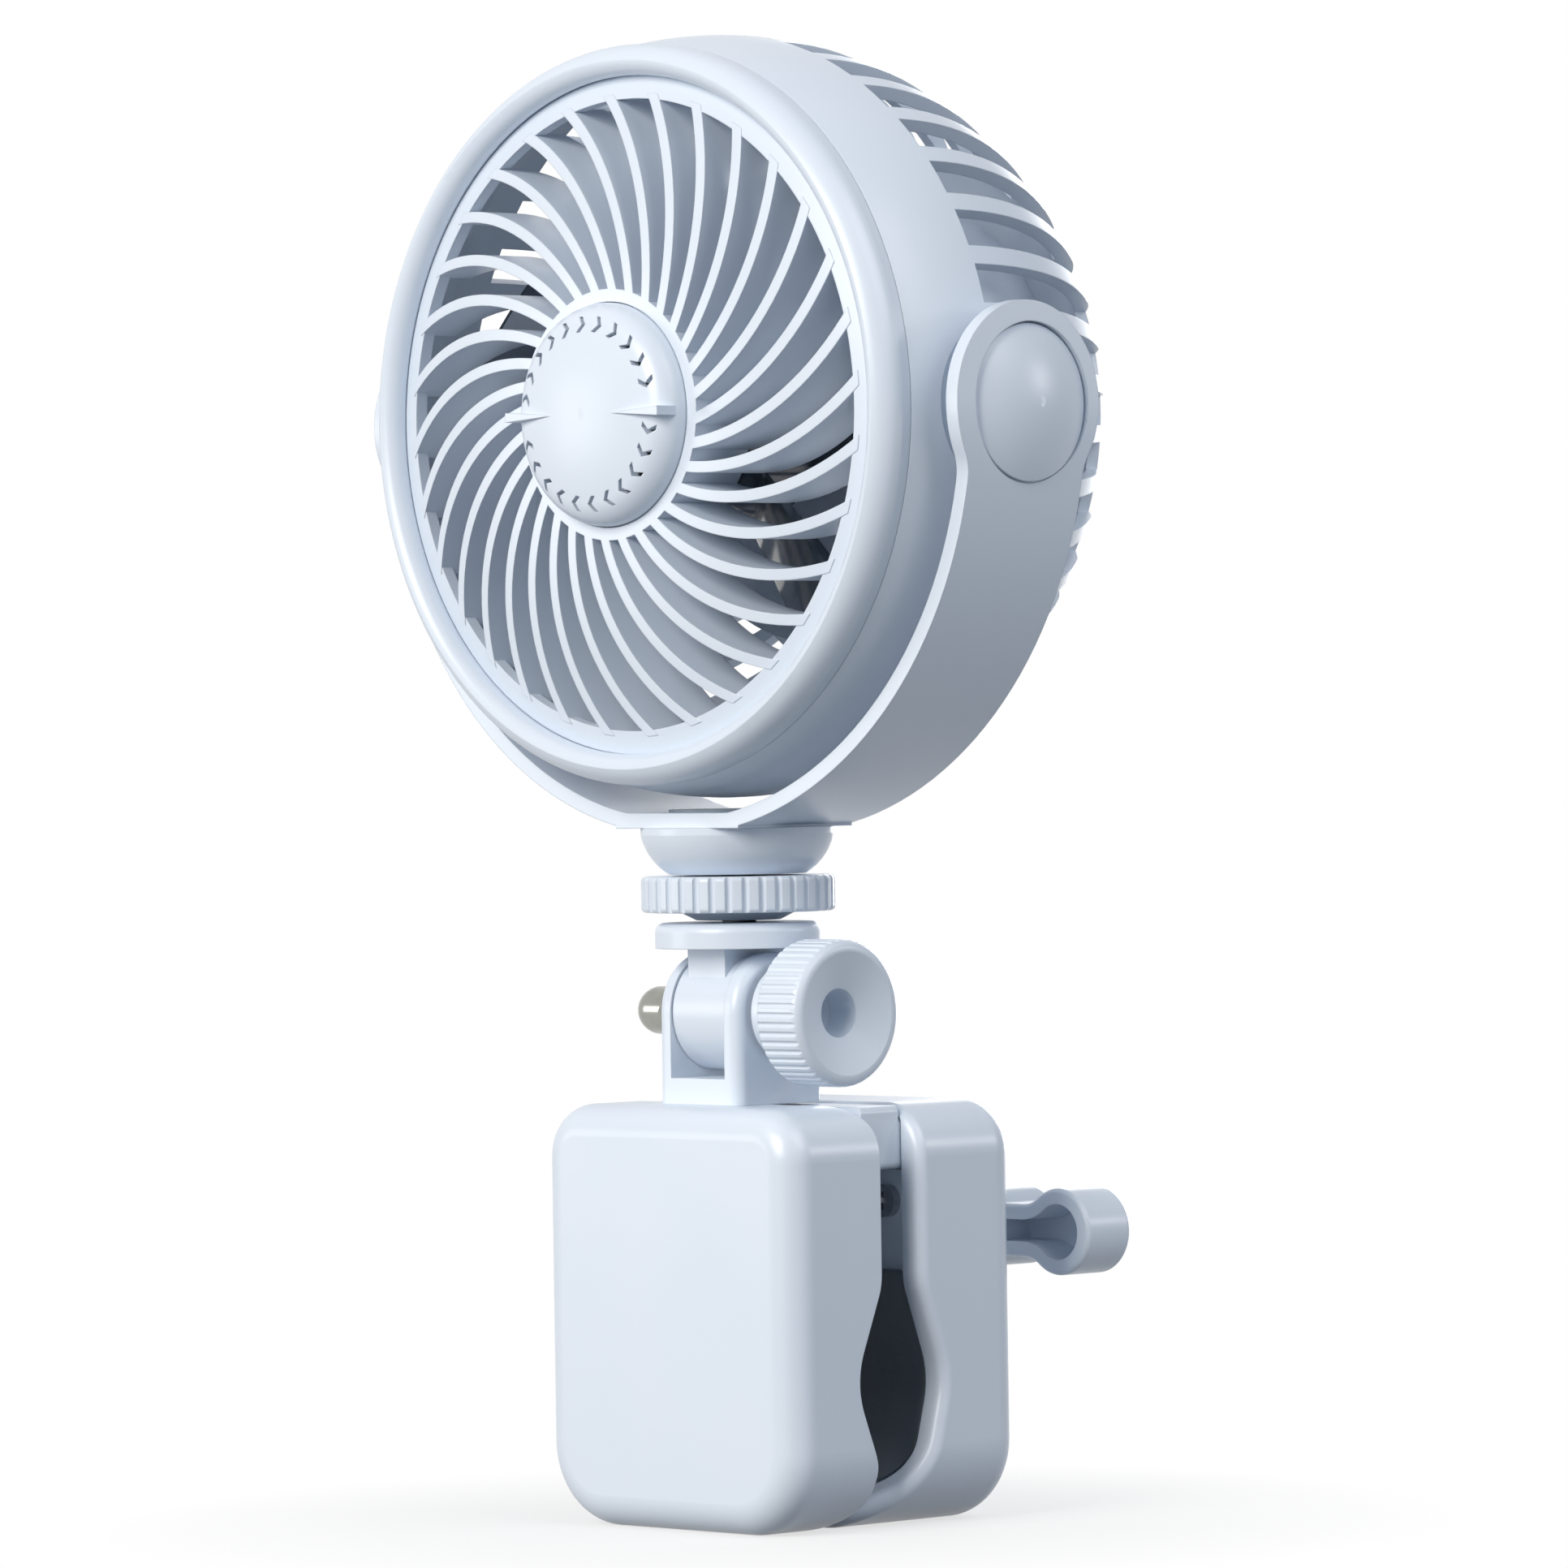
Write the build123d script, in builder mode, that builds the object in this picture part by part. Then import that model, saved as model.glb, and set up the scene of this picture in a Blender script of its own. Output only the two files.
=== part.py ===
from build123d import *
from math import asin, atan, cos, degrees, radians, sin, sqrt
import os

# Clip-on stroller fan: a screw clamp, a tilting neck, a yoke and a battery fan head.
# Millimetres, +Z up. The fan faces -Y, and the clamped bar's axis lies along X through the origin.

os.makedirs("parts", exist_ok=True)

# Fits and fasteners
running_gap = 0.06  # radial play of a shaft, pin or thread in its bore
seat_gap = 0.05  # play between flat faces that turn or slide on each other
slide_gap = 0.3  # play round the guide arm, the barrel and the button
fit_gap = 0.15  # play round a piece dropped into its housing
recess_reach = 1.1  # cross recess of a screw, as shares of its head's radius and height
recess_slot = 0.28
recess_depth = 0.6

# Clamp jaws, shared outline
jaw_width = 60.7
jaw_top = 45.7
jaw_bottom = -25.8
jaw_top_corner = 9.0
jaw_bottom_corner = 14.0
jaw_edge_round = 5.3
jaw_wall = 2.6
jaw_rim = 4.3  # width of the rim round the mouth
jaw_roof = 2.1
jaw_floor = 6.3
cavity_top_corner = 1.5
cavity_bottom_corner = 8.0

# Front jaw
front_face = -25.7
front_mouth = -4.4
front_seat = -11.0
front_lip = -5.4
front_top_round = 5.5
front_lip_round = 7.0

# Rear jaw
rear_back = 29.0
rear_mouth = 5.0
rear_seat = 10.8
rear_lip = 6.5
hook_tip = -10.4
hook_height = 1.2
hook_round = 14.0
hook_nose_round = 0.5
mouth_bead = 2.0

# Bar seat, shared by both jaws
seat_top = 15.5
seat_middle = -0.5
front_seat_low = -15.0
rear_seat_low = -16.5
seat_round = 14.0
seat_shoulder_round = 10.0
lip_round = 7.0

# Plates and pads in the jaw mouths
plate_recess = 3.0
plate_thickness = 2.5
pad_thickness = 1.5
pad_margin = 1.55  # from the cavity's wall to the pad
pad_top = 17.4
pad_bottom = -18.8
pad_top_corner = 2.0
plate_top_corner = 2.0
plate_screw_inset = 6.05  # from the cavity's wall to a plate screw
plate_screw_z = 29.0
plate_screw_radius = 1.5
plate_screw_length = 8.0
plate_screw_head = 2.8
plate_screw_head_height = 1.7
plate_boss_radius = 4.0

# Guide arm
arm_top = 43.2
arm_bottom = 34.6
arm_end = 26.0
arm_round = 1.2
bridge_drop = 0.4  # from the jaws' top to the arm's raised part between them

# Clamp screw and wing handle
screw_z = 21.6
screw_radius = 3.0
screw_front_end = -13.0
collar_radius = 4.0
collar_thickness = 2.0
ring_radius = 4.8
ring_thickness = 1.5
nut_flats = 10.0
nut_length = 8.0
screw_hole_play = 0.6
handle_near = 48.1
handle_depth = 10.7
handle_lobe_radius = 7.5
handle_lobe_x = 21.0
handle_waist = 4.6
handle_blend = 6.0
handle_wall = 2.7
handle_web = 2.5
handle_boss_radius = 6.8
handle_boss_rear = 5.0  # length of the boss behind the wing
handle_boss_round = 1.0
handle_edge_round = 0.8
screw_seat_depth = 6.0
handle_screw_radius = 1.5
handle_screw_head = 3.0
handle_screw_length = 16.0
handle_screw_head_height = 1.6

# Neck: fork, tilt joint, stud and lock ring
stand_y = -7.0
fork_width = 19.5
fork_depth = 20.4
fork_floor = 4.5
fork_window = 12.9
fork_round = 2.0
fork_screw_x = 6.0
fork_screw_y = -6.2
fork_screw_radius = 1.5
fork_screw_head = 2.8
fork_screw_head_height = 1.8
fork_screw_bite = 3.6
tilt_height = 15.5
barrel_radius = 9.8
barrel_gap = 0.2
stem_width = 9.0
stem_depth = 15.5
tilt_disc_radius = 14.2
tilt_disc_rise = 10.9
tilt_disc_thickness = 4.3
tilt_disc_round = 1.6
bolt_radius = 2.5
bolt_end = 17.6
bolt_head_radius = 4.3
bolt_head_height = 3.4
knob_radius = 12.4
knob_near = 16.4
knob_length = 9.6
knob_collar_radius = 8.0
knob_round = 1.7
knob_rear_round = 0.5
knob_dish_radius = 10.4
knob_dish_depth = 2.4
knob_hole_radius = 4.1
knob_hole_depth = 8.5
knob_flutes = 48
knob_flute_radius = 0.5
knob_flute_depth = 0.32
washer_radius = 7.0
washer_thickness = 1.0
dome_nut_flats = 8.6
dome_nut_hex = 5.2
dome_nut_length = 13.4
dome_nut_step = 0.2
dome_nut_bore_depth = 8.6
stud_radius = 3.175
stud_foot = 3.4
stud_rise = 14.6
stud_chamfer = 0.6
lock_ring_radius = 16.45
lock_ring_height = 6.1
lock_ring_lift = 1.8
lock_ring_cone_top = 10.0
lock_ring_cone_foot = 7.2
lock_ring_cone_height = 1.4
lock_ring_flutes = 36
lock_ring_flute_radius = 0.62
lock_ring_round = 0.8
cup_gap = 0.3
cup_height = 7.9
cup_foot_radius = 11.6
cup_top_radius = 16.4
cup_rim = 1.2
cup_bulge_radius = 14.8
cup_bulge_rise = 3.0
insert_radius = 5.2
insert_length = 6.4
neck_screw_x = 8.4
neck_screw_radius = 1.5
neck_screw_head = 2.8
neck_screw_head_height = 1.6
neck_screw_length = 6.5

# Yoke
yoke_gap = 3.5  # between the housing's widest place and the band
yoke_thickness = 2.6
yoke_front_half = 14.3  # from the pivots' plane to the band's front and rear edges
yoke_rear_half = 12.7
yoke_flat_rise = 1.1  # from the band's lowest place up to the flat inside the bottom
yoke_boss_radius = 16.8
yoke_boss_forward = 0.9
yoke_neck_round = 9.0
yoke_cover_radius = 11.6
yoke_cover_thickness = 0.5
pivot_seat_radius = 7.5
cap_radius = 13.0
cap_recess_play = 0.3
cap_floor = 0.9
cap_rim = 1.0
cap_rise = 2.8
cap_hollow_radius = 7.5
cap_hollow_depth = 2.5
pin_radius = 3.0
pin_length = 15.0
pin_head_radius = 5.5
pin_head_height = 1.4
friction_washer_radius = 6.8
friction_washer_thickness = 1.1

# Fan head, by radius and by depth behind the plane of the front opening
pivot_depth = 23.8
opening_radius = 53.0
flange_width = 4.0
flange_thickness = 2.5
flange_drop = 1.3  # from the flange's inner edge back to its outer edge
bezel_width = 5.05  # from the bezel's lip round the flange, as its other widths
bezel_crest = 2.6
bezel_crest_width = 2.25
bezel_wide_depth = 2.0
bezel_inner_bend_width = 0.7
bezel_inner_bend = 1.9
bezel_outer_bend_width = 4.35
bezel_outer_bend = 0.7
bezel_ledge_width = 2.35
bezel_ledge_thickness = 1.8
seam_depth = 4.0
seam_gap = 0.1
spigot_depth = 9.0
spigot_thickness = 2.2
housing_front_step = 0.1  # from the bezel's widest place in to the seam
housing_bulge = 2.4  # from the seam out to the housing's widest place
housing_bulge_depth = 22.0
shell_round = 65.0  # radius of the side wall behind its widest place
housing_depth = 66.5
housing_wall = 2.4
shoulder_round = 11.0
slot_count = 40
slot_angle = 6.0
slot_start = 21.4
slot_behind_pivot = 39.8
slot_inner_radius = 47.0
slots_behind_pivot = 1  # slots either side of each pivot that start behind its boss
pivot_land_radius = 14.0
pivot_land_depth = 1.5  # inwards from the housing's widest place, as the boss's root
pivot_boss_radius = 7.0
pivot_boss_depth = 10.5

# Guard grille and hub
vane_count = 32
vane_sweep = 0.93  # degrees of turn for each millimetre of radius
vane_start_angle = 7.65
vane_thickness = 1.9
vane_rear_depth = 8.0
vane_overlap = 1.0  # length of each vane's end inside the rings
hub_ring_radius = 21.06
hub_ring_rise = 4.95
hub_ring_inner_radius = 18.9
guard_fall = 4.857922  # from the hub ring's front back to the guard's edge at the flange
hub_floor_thickness = 2.0
cap_skirt = 3.0
hub_cap_shoulder_radius = 15.0
hub_cap_shoulder_rise = 10.0
hub_cap_rise = 11.8
hub_cap_wall = 1.6
hub_cap_step = 0.4
chevron_radius = 15.0
chevron_pitch = 15.0
chevron_arm = 1.7
chevron_width = 0.85
chevron_half_angle = 50.0
fin_start = 6.0
fin_end = 18.4
fin_width = 1.6
fin_crest = 11.4
fin_root = 5.6

# Motor and impeller
motor_radius = 12.0
motor_front = 13.5
motor_nose_radius = 4.0
motor_nose = 0.6
motor_round = 1.2
shaft_radius = 1.5
shaft_front = 9.9
shaft_rear = 31.5
motor_screw_x = 8.0
motor_screw_radius = 1.25
motor_screw_head = 2.3
motor_screw_head_height = 1.3
motor_screw_length = 5.0
impeller_hub_radius = 19.6
impeller_hub_front = 9.5
impeller_hub_rear = 26.0
impeller_hub_wall = 1.8
impeller_boss_radius = 3.4
impeller_boss_rear = 12.4
impeller_radius = 51.0
blade_count = 7
blade_mid_depth = 18.5
blade_root_chord = 21.0
blade_tip_chord = 27.0
blade_root_pitch = 40.0
blade_tip_pitch = 24.0
blade_root_thickness = 2.0
blade_tip_thickness = 1.3

# Pod behind the motor
pod_radius = 38.4
pod_wall = 2.4
pod_length = 22.5
cover_rise = 2.6
cover_edge_rise = 0.7
cover_rim_rise = 1.5
cover_rim_radius = 37.0
cover_radius = 38.2
cover_spigot = 2.0
cover_spigot_wall = 1.9
cover_screw_radius_out = 30.0
cover_screw_angles = (90, 225, 315)
cover_screw_radius = 1.25
cover_screw_head = 2.4
cover_screw_head_height = 1.1
cover_screw_seat = 0.7
cover_screw_length = 9.0
cover_boss_radius = 3.2
cell_radius = 9.1
cell_length = 65.0
cell_drop = 4.0
cell_nub_radius = 2.8
cell_nub = 1.0
board_width = 44.0
board_bottom = 8.0
board_top = 25.6
board_setback = 7.5  # from the housing's back to the board's front
board_thickness = 1.6
standoff_radius = 2.4
standoff_x = 17.0
standoff_z = 15.0
control_z = 18.0
switch_x = -9.0
switch_size = 6.0
switch_height = 3.2
switch_body = 2.5
port_x = 10.0
port_width = 9.0
port_height = 3.3
port_wall = 0.4
port_depth = 7.8
port_mouth_depth = 6.0
port_tongue_width = 6.6
port_tongue_thickness = 0.7
port_tongue_setback = 1.0
button_radius = 5.0
button_proud = 1.0
button_round = 0.8
button_flange_radius = 6.2
button_flange_thickness = 0.9
button_stem_radius = 1.6
button_travel = 0.8
lead_radius = 0.6
lead_hole_play = 0.2
motor_lead_x = 1.2
motor_lead_z = 9.5
battery_lead_x = 19.0
battery_lead_start = 8.6

# Places worked out from the sizes above
jaw_half = jaw_width / 2
cavity_half = jaw_half - jaw_rim
arm_width = 2 * (cavity_half - slide_gap)
pad_width = 2 * (cavity_half - pad_margin)
plate_screw_x = cavity_half - plate_screw_inset
cavity_top = jaw_top - jaw_roof
cavity_bottom = jaw_bottom + jaw_floor
hook_tip_top = jaw_bottom + hook_height
front_plate_back = front_mouth - plate_recess
front_plate_front = front_plate_back - plate_thickness
rear_plate_front = rear_mouth + plate_recess
rear_plate_back = rear_plate_front + plate_thickness
handle_far = handle_near + handle_depth
handle_rear = handle_far + handle_boss_rear
screw_rear_end = handle_near + screw_seat_depth
tilt_z = jaw_top + tilt_height
fork_floor_top = jaw_top + fork_floor
tilt_disc_bottom = tilt_z + tilt_disc_rise
tilt_disc_top = tilt_disc_bottom + tilt_disc_thickness
lock_ring_bottom = tilt_disc_top + lock_ring_lift
lock_ring_top = lock_ring_bottom + lock_ring_height
cup_bottom = lock_ring_top + cup_gap
cup_top = cup_bottom + cup_height
yoke_floor = cup_top + yoke_thickness
flange_radius = opening_radius + flange_width
bezel_lip_radius = flange_radius + fit_gap
bezel_crest_radius = bezel_lip_radius + bezel_crest_width
bezel_inner_bend_radius = bezel_lip_radius + bezel_inner_bend_width
bezel_outer_bend_radius = bezel_lip_radius + bezel_outer_bend_width
bezel_ledge_radius = bezel_lip_radius - bezel_ledge_width
bezel_radius = bezel_lip_radius + bezel_width
housing_front_radius = bezel_radius - housing_front_step
housing_radius = housing_front_radius + housing_bulge
pivot_land_x = housing_radius - pivot_land_depth
pivot_boss_root = housing_radius - pivot_boss_depth
yoke_inner_radius = housing_radius + yoke_gap
yoke_flat_drop = yoke_inner_radius - yoke_flat_rise
pivot_z = yoke_floor + yoke_flat_drop
yoke_outer_radius = yoke_inner_radius + yoke_thickness
opening_y = stand_y - pivot_depth
pod_front = housing_depth - pod_length
pod_floor = pod_front + pod_wall
pod_inner_radius = pod_radius - pod_wall
board_depth = housing_depth - board_setback
board_back = board_depth + board_thickness
cover_back = housing_depth + cover_rise
cover_inside = housing_depth
cell_depth = pod_floor + slide_gap + cell_radius

# Planes of the fan head: its face looks forward, its section holds radius and depth
fan_centre = (0, opening_y, pivot_z)
fan_face = Plane(fan_centre, x_dir=(1, 0, 0), z_dir=(0, -1, 0))
fan_section = Plane(fan_centre, x_dir=(0, 0, 1), z_dir=(-1, 0, 0))
fan_axis = Axis(fan_centre, (0, 1, 0))
stand_section = Plane((0, stand_y, 0), x_dir=(1, 0, 0), z_dir=(0, -1, 0))
stand_axis = Axis((0, stand_y, 0), (0, 0, 1))
tilt_section = Plane((0, stand_y, tilt_z), x_dir=(1, 0, 0), z_dir=(0, -1, 0))
tilt_axis = Axis((0, stand_y, tilt_z), (1, 0, 0))
screw_section = Plane((0, 0, screw_z), x_dir=(0, 1, 0), z_dir=(1, 0, 0))
screw_axis = Axis((0, 0, screw_z), (0, 1, 0))


def facing_right(x, y, z):
    """Plane whose normal is +X."""
    return Plane((x, y, z), x_dir=(0, 1, 0), z_dir=(1, 0, 0))


def facing_back(x, y, z):
    """Plane whose normal is +Y."""
    return Plane((x, y, z), x_dir=(-1, 0, 0), z_dir=(0, 1, 0))


def facing_front(x, y, z):
    """Plane whose normal is -Y."""
    return Plane((x, y, z), x_dir=(1, 0, 0), z_dir=(0, -1, 0))


def behind_opening(x, depth, z):
    """Point of the fan head by its depth behind the opening, from the fan's centre."""
    return (x, opening_y + depth, pivot_z + z)


def arc_middle(centre, radius, angle):
    """Point of an arc about a centre, at an angle in degrees."""
    return (centre[0] + radius * cos(radians(angle)), centre[1] + radius * sin(radians(angle)))


def dome_rise(radius, rise, at):
    """Height of a spherical dome above its rim, at a distance from its axis."""
    sphere = (radius**2 + rise**2) / (2 * rise)
    return sqrt(sphere**2 - at**2) - sphere + rise


def polygon_face(plane, points):
    """Flat face with straight edges on a plane."""
    with BuildSketch(plane) as face:
        with BuildLine():
            Polyline(*points, close=True)
        make_face()
    return face.sketch


def pan_screw(shank_radius, shank_length, head_radius, head_height):
    """Pan-head screw along Z, its head standing on Z = 0, with a cross recess."""
    profile = [(0, head_height), (head_radius, head_height), (head_radius, 0)]
    profile += [(shank_radius, 0), (shank_radius, -shank_length), (0, -shank_length)]
    return cross_screw(profile, head_radius, head_height, head_height)


def sunk_screw(shank_radius, shank_length, head_radius, head_height):
    """Countersunk screw along Z, its head flush with Z = 0, with a cross recess."""
    profile = [(0, 0), (head_radius, 0), (shank_radius, -head_height)]
    profile += [(shank_radius, -shank_length), (0, -shank_length)]
    return cross_screw(profile, head_radius, head_height, 0)


def cross_screw(profile, head_radius, head_height, head_top):
    """Turned screw with a cross recess in the top of its head."""
    reach = head_radius * recess_reach
    slot = head_radius * recess_slot
    with BuildPart() as screw:
        revolve(polygon_face(Plane.XZ, profile), axis=Axis.Z)
        with BuildSketch(Plane.XY.offset(head_top)):
            Rectangle(reach, slot)
            Rectangle(slot, reach)
        extrude(amount=-head_height * recess_depth, mode=Mode.SUBTRACT)
    return screw.part


def sink_angle(head_radius, shank_radius, head_height):
    """Full cone angle of a countersunk head, in degrees."""
    return 2 * degrees(atan((head_radius - shank_radius) / head_height))


def mouth_line(corners, rounds, shift):
    """Side view of a jaw's mouth, moved along Y."""
    return FilletPolyline(*[(y + shift, z) for y, z in corners], radius=rounds)


def outer_edges(faces):
    """Edges that belong to only one face of a patch."""
    edges = [edge for face in faces for edge in face.edges()]
    return [edge for edge in edges if sum(edge.is_same(other) for other in edges) == 1]


def mouth_band(corners, rounds, near, far):
    """Strip that follows a jaw's mouth between two shifts along Y."""
    with BuildSketch(Plane.YZ) as band:
        with BuildLine():
            first = mouth_line(corners, rounds, near)
            second = mouth_line(corners, rounds, far)
            Line(first @ 0, second @ 0)
            Line(first @ 1, second @ 1)
        make_face()
    return band.sketch


def upright_outline(half_width, bottom, top, bottom_corner, top_corner):
    """Front view of a jaw, cavity or plate, with rounded corners."""
    with BuildSketch(Plane.XZ) as outline:
        with Locations((0, (bottom + top) / 2)):
            Rectangle(2 * half_width, top - bottom)
        fillet(outline.vertices().group_by(Axis.Y)[0], radius=bottom_corner)
        fillet(outline.vertices().group_by(Axis.Y)[-1], radius=top_corner)
    return outline.sketch


# Jaw profiles
front_corners = [
    (front_lip, jaw_bottom),
    (front_lip, front_seat_low),
    (front_seat, seat_middle),
    (front_mouth, seat_top),
    (front_mouth, jaw_top),
]
front_rounds = [lip_round, seat_round, seat_shoulder_round]
rear_corners = [
    (hook_tip, hook_tip_top),
    (rear_lip, rear_seat_low),
    (rear_seat, seat_middle),
    (rear_mouth, seat_top),
    (rear_mouth, jaw_top),
]
rear_rounds = [hook_round, seat_round, seat_shoulder_round]

with BuildSketch(Plane.YZ) as front_side:
    with BuildLine():
        edge = FilletPolyline(
            (front_face, jaw_bottom),
            *front_corners,
            (front_face, jaw_top),
            radius=[front_lip_round, *front_rounds, front_top_round],
        )
        Line(edge @ 1, edge @ 0)
    make_face()

with BuildSketch(Plane.YZ) as rear_side:
    with BuildLine():
        edge = FilletPolyline(
            (rear_back, jaw_bottom),
            (hook_tip, jaw_bottom),
            *rear_corners,
            (rear_back, jaw_top),
            radius=[0, hook_nose_round, *rear_rounds, 0],
        )
        Line(edge @ 1, edge @ 0)
    make_face()

jaw_reach = jaw_width  # more than either jaw's depth, for cuts that go right through
jaw_outline = upright_outline(jaw_half, jaw_bottom, jaw_top, jaw_bottom_corner, jaw_top_corner)
jaw_cavity = upright_outline(
    cavity_half, cavity_bottom, cavity_top, cavity_bottom_corner, cavity_top_corner
)
plate_outline = upright_outline(
    cavity_half - fit_gap,
    cavity_bottom + fit_gap,
    arm_bottom - slide_gap,
    cavity_bottom_corner - fit_gap,
    plate_top_corner,
)
pad_outline = upright_outline(
    pad_width / 2, pad_bottom, pad_top, cavity_bottom_corner, pad_top_corner
)
plate_screw_places = [(side * plate_screw_x, plate_screw_z) for side in (-1, 1)]

# Front jaw shell, fixed: rounded box that carries the fork and the guide arm
with BuildPart() as front_jaw_shell:
    extrude(front_side.sketch, amount=jaw_half, both=True)
    extrude(jaw_outline, amount=jaw_reach, both=True, mode=Mode.INTERSECT)
    fillet(front_jaw_shell.faces().sort_by(Axis.Y)[0].edges(), radius=jaw_edge_round)
    with BuildSketch(Plane.XZ.offset(-front_face - jaw_wall)):
        add(jaw_cavity)
    extrude(amount=-jaw_reach, mode=Mode.SUBTRACT)
    with BuildSketch(Plane.XZ.offset(-front_face - jaw_wall)):
        with Locations(*plate_screw_places):
            Circle(plate_boss_radius)
    extrude(amount=front_face + jaw_wall - front_plate_front)
    with BuildSketch(Plane.XZ.offset(-front_plate_front)):
        with Locations(*plate_screw_places):
            Circle(plate_screw_radius + running_gap)
    extrude(amount=plate_screw_length, mode=Mode.SUBTRACT)
    with BuildSketch(Plane.XY.offset(cavity_top - jaw_roof)):
        with Locations(*[(side * fork_screw_x, stand_y + fork_screw_y) for side in (-1, 1)]):
            Circle(fork_screw_radius + running_gap)
    extrude(amount=3 * jaw_roof, mode=Mode.SUBTRACT)
front_jaw_shell.part.label = "front_jaw_shell"
export_step(front_jaw_shell.part, "parts/front_jaw_shell.step")

# Front jaw plate: closes the mouth and takes the screw's thrust
with BuildPart() as front_jaw_plate:
    band = mouth_band(front_corners, front_rounds, -plate_recess, -plate_recess - plate_thickness)
    extrude(band, amount=jaw_half, both=True)
    extrude(plate_outline, amount=jaw_reach, both=True, mode=Mode.INTERSECT)
    with BuildSketch(Plane.XZ):
        with Locations((0, screw_z)):
            Circle(screw_radius + running_gap)
        with Locations(*plate_screw_places):
            Circle(plate_screw_radius + running_gap)
    extrude(amount=jaw_reach, mode=Mode.SUBTRACT)
front_jaw_plate.part.label = "front_jaw_plate"
export_step(front_jaw_plate.part, "parts/front_jaw_plate.step")

# Front jaw pad
with BuildPart() as front_jaw_pad:
    band = mouth_band(front_corners, front_rounds, pad_thickness - plate_recess, -plate_recess)
    extrude(band, amount=jaw_half, both=True)
    extrude(pad_outline, amount=jaw_reach, both=True, mode=Mode.INTERSECT)
    with BuildSketch(Plane.XZ):
        with Locations((0, screw_z)):
            Circle(ring_radius)
    extrude(amount=jaw_reach, mode=Mode.SUBTRACT)
front_jaw_pad.part.label = "front_jaw_pad"
export_step(front_jaw_pad.part, "parts/front_jaw_pad.step")

# Screws of the front plate
plate_screw = pan_screw(
    plate_screw_radius, plate_screw_length, plate_screw_head, plate_screw_head_height
)
with BuildPart() as front_plate_screws:
    with Locations(*[facing_back(x, front_plate_back, z) for x, z in plate_screw_places]):
        add(plate_screw)
front_plate_screws.part.label = "front_plate_screws"
export_step(front_plate_screws.part, "parts/front_plate_screws.step")

# Guide arm: fixed in the front jaw, it slides in the top of the rear jaw and fills the gap between them
arm_start = front_face + jaw_wall + fit_gap
bridge_start = front_mouth + slide_gap
bridge_end = rear_mouth - slide_gap
bridge_top = jaw_top - bridge_drop
with BuildPart() as guide_arm:
    with BuildSketch(Plane.XZ.offset(-arm_start)):
        with Locations((0, (arm_top + arm_bottom) / 2)):
            RectangleRounded(arm_width, arm_top - arm_bottom, arm_round)
    extrude(amount=arm_start - arm_end)
    with BuildSketch(Plane.XZ.offset(-bridge_start)):
        with Locations((0, (bridge_top + arm_bottom) / 2)):
            RectangleRounded(arm_width, bridge_top - arm_bottom, arm_round)
    extrude(amount=bridge_start - bridge_end)
    with BuildSketch(Plane.XY.offset(arm_bottom)):
        with Locations(*[(side * fork_screw_x, stand_y + fork_screw_y) for side in (-1, 1)]):
            Circle(fork_screw_radius + running_gap)
    extrude(amount=arm_top - arm_bottom, mode=Mode.SUBTRACT)
guide_arm.part.label = "guide_arm"
export_step(guide_arm.part, "parts/guide_arm.step")

# Rear jaw shell, slides along Y: rounded box with a bead round its mouth
with BuildPart() as rear_jaw_shell:
    extrude(rear_side.sketch, amount=jaw_half, both=True)
    extrude(jaw_outline, amount=jaw_reach, both=True, mode=Mode.INTERSECT)
    fillet(rear_jaw_shell.faces().sort_by(Axis.Y)[-1].edges(), radius=jaw_edge_round)
    mouth_faces = rear_jaw_shell.faces().filter_by(lambda face: round(face.normal_at().Y, 3) < 0)
    fillet(outer_edges(mouth_faces), radius=mouth_bead)
    with BuildSketch(Plane.XZ.offset(jaw_wall - rear_back)):
        add(jaw_cavity)
    extrude(amount=jaw_reach, mode=Mode.SUBTRACT)
    with BuildSketch(Plane.XZ.offset(jaw_wall - rear_back)):
        with Locations(*plate_screw_places):
            Circle(plate_boss_radius)
    extrude(amount=rear_back - jaw_wall - rear_plate_back)
    with BuildSketch(Plane.XZ.offset(-rear_plate_back)):
        with Locations(*plate_screw_places):
            Circle(plate_screw_radius + running_gap)
    extrude(amount=-plate_screw_length, mode=Mode.SUBTRACT)
    with BuildSketch(Plane.XZ):
        with Locations((0, screw_z)):
            Circle(screw_radius + screw_hole_play)
    extrude(amount=-jaw_reach, mode=Mode.SUBTRACT)
rear_jaw_shell.part.label = "rear_jaw_shell"
export_step(rear_jaw_shell.part, "parts/rear_jaw_shell.step")

# Rear jaw plate: stepped inner face of the rear jaw
with BuildPart() as rear_jaw_plate:
    band = mouth_band(rear_corners, rear_rounds, plate_recess, plate_recess + plate_thickness)
    extrude(band, amount=jaw_half, both=True)
    extrude(plate_outline, amount=jaw_reach, both=True, mode=Mode.INTERSECT)
    with BuildSketch(Plane.XZ):
        with Locations((0, screw_z)):
            Circle(screw_radius + screw_hole_play)
        with Locations(*plate_screw_places):
            Circle(plate_screw_radius + running_gap)
    extrude(amount=-jaw_reach, mode=Mode.SUBTRACT)
rear_jaw_plate.part.label = "rear_jaw_plate"
export_step(rear_jaw_plate.part, "parts/rear_jaw_plate.step")

# Rear jaw pad
with BuildPart() as rear_jaw_pad:
    band = mouth_band(rear_corners, rear_rounds, plate_recess - pad_thickness, plate_recess)
    extrude(band, amount=jaw_half, both=True)
    extrude(pad_outline, amount=jaw_reach, both=True, mode=Mode.INTERSECT)
    with BuildSketch(Plane.XZ):
        with Locations((0, screw_z)):
            Circle(screw_radius + screw_hole_play)
    extrude(amount=-jaw_reach, mode=Mode.SUBTRACT)
rear_jaw_pad.part.label = "rear_jaw_pad"
export_step(rear_jaw_pad.part, "parts/rear_jaw_pad.step")

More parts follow.
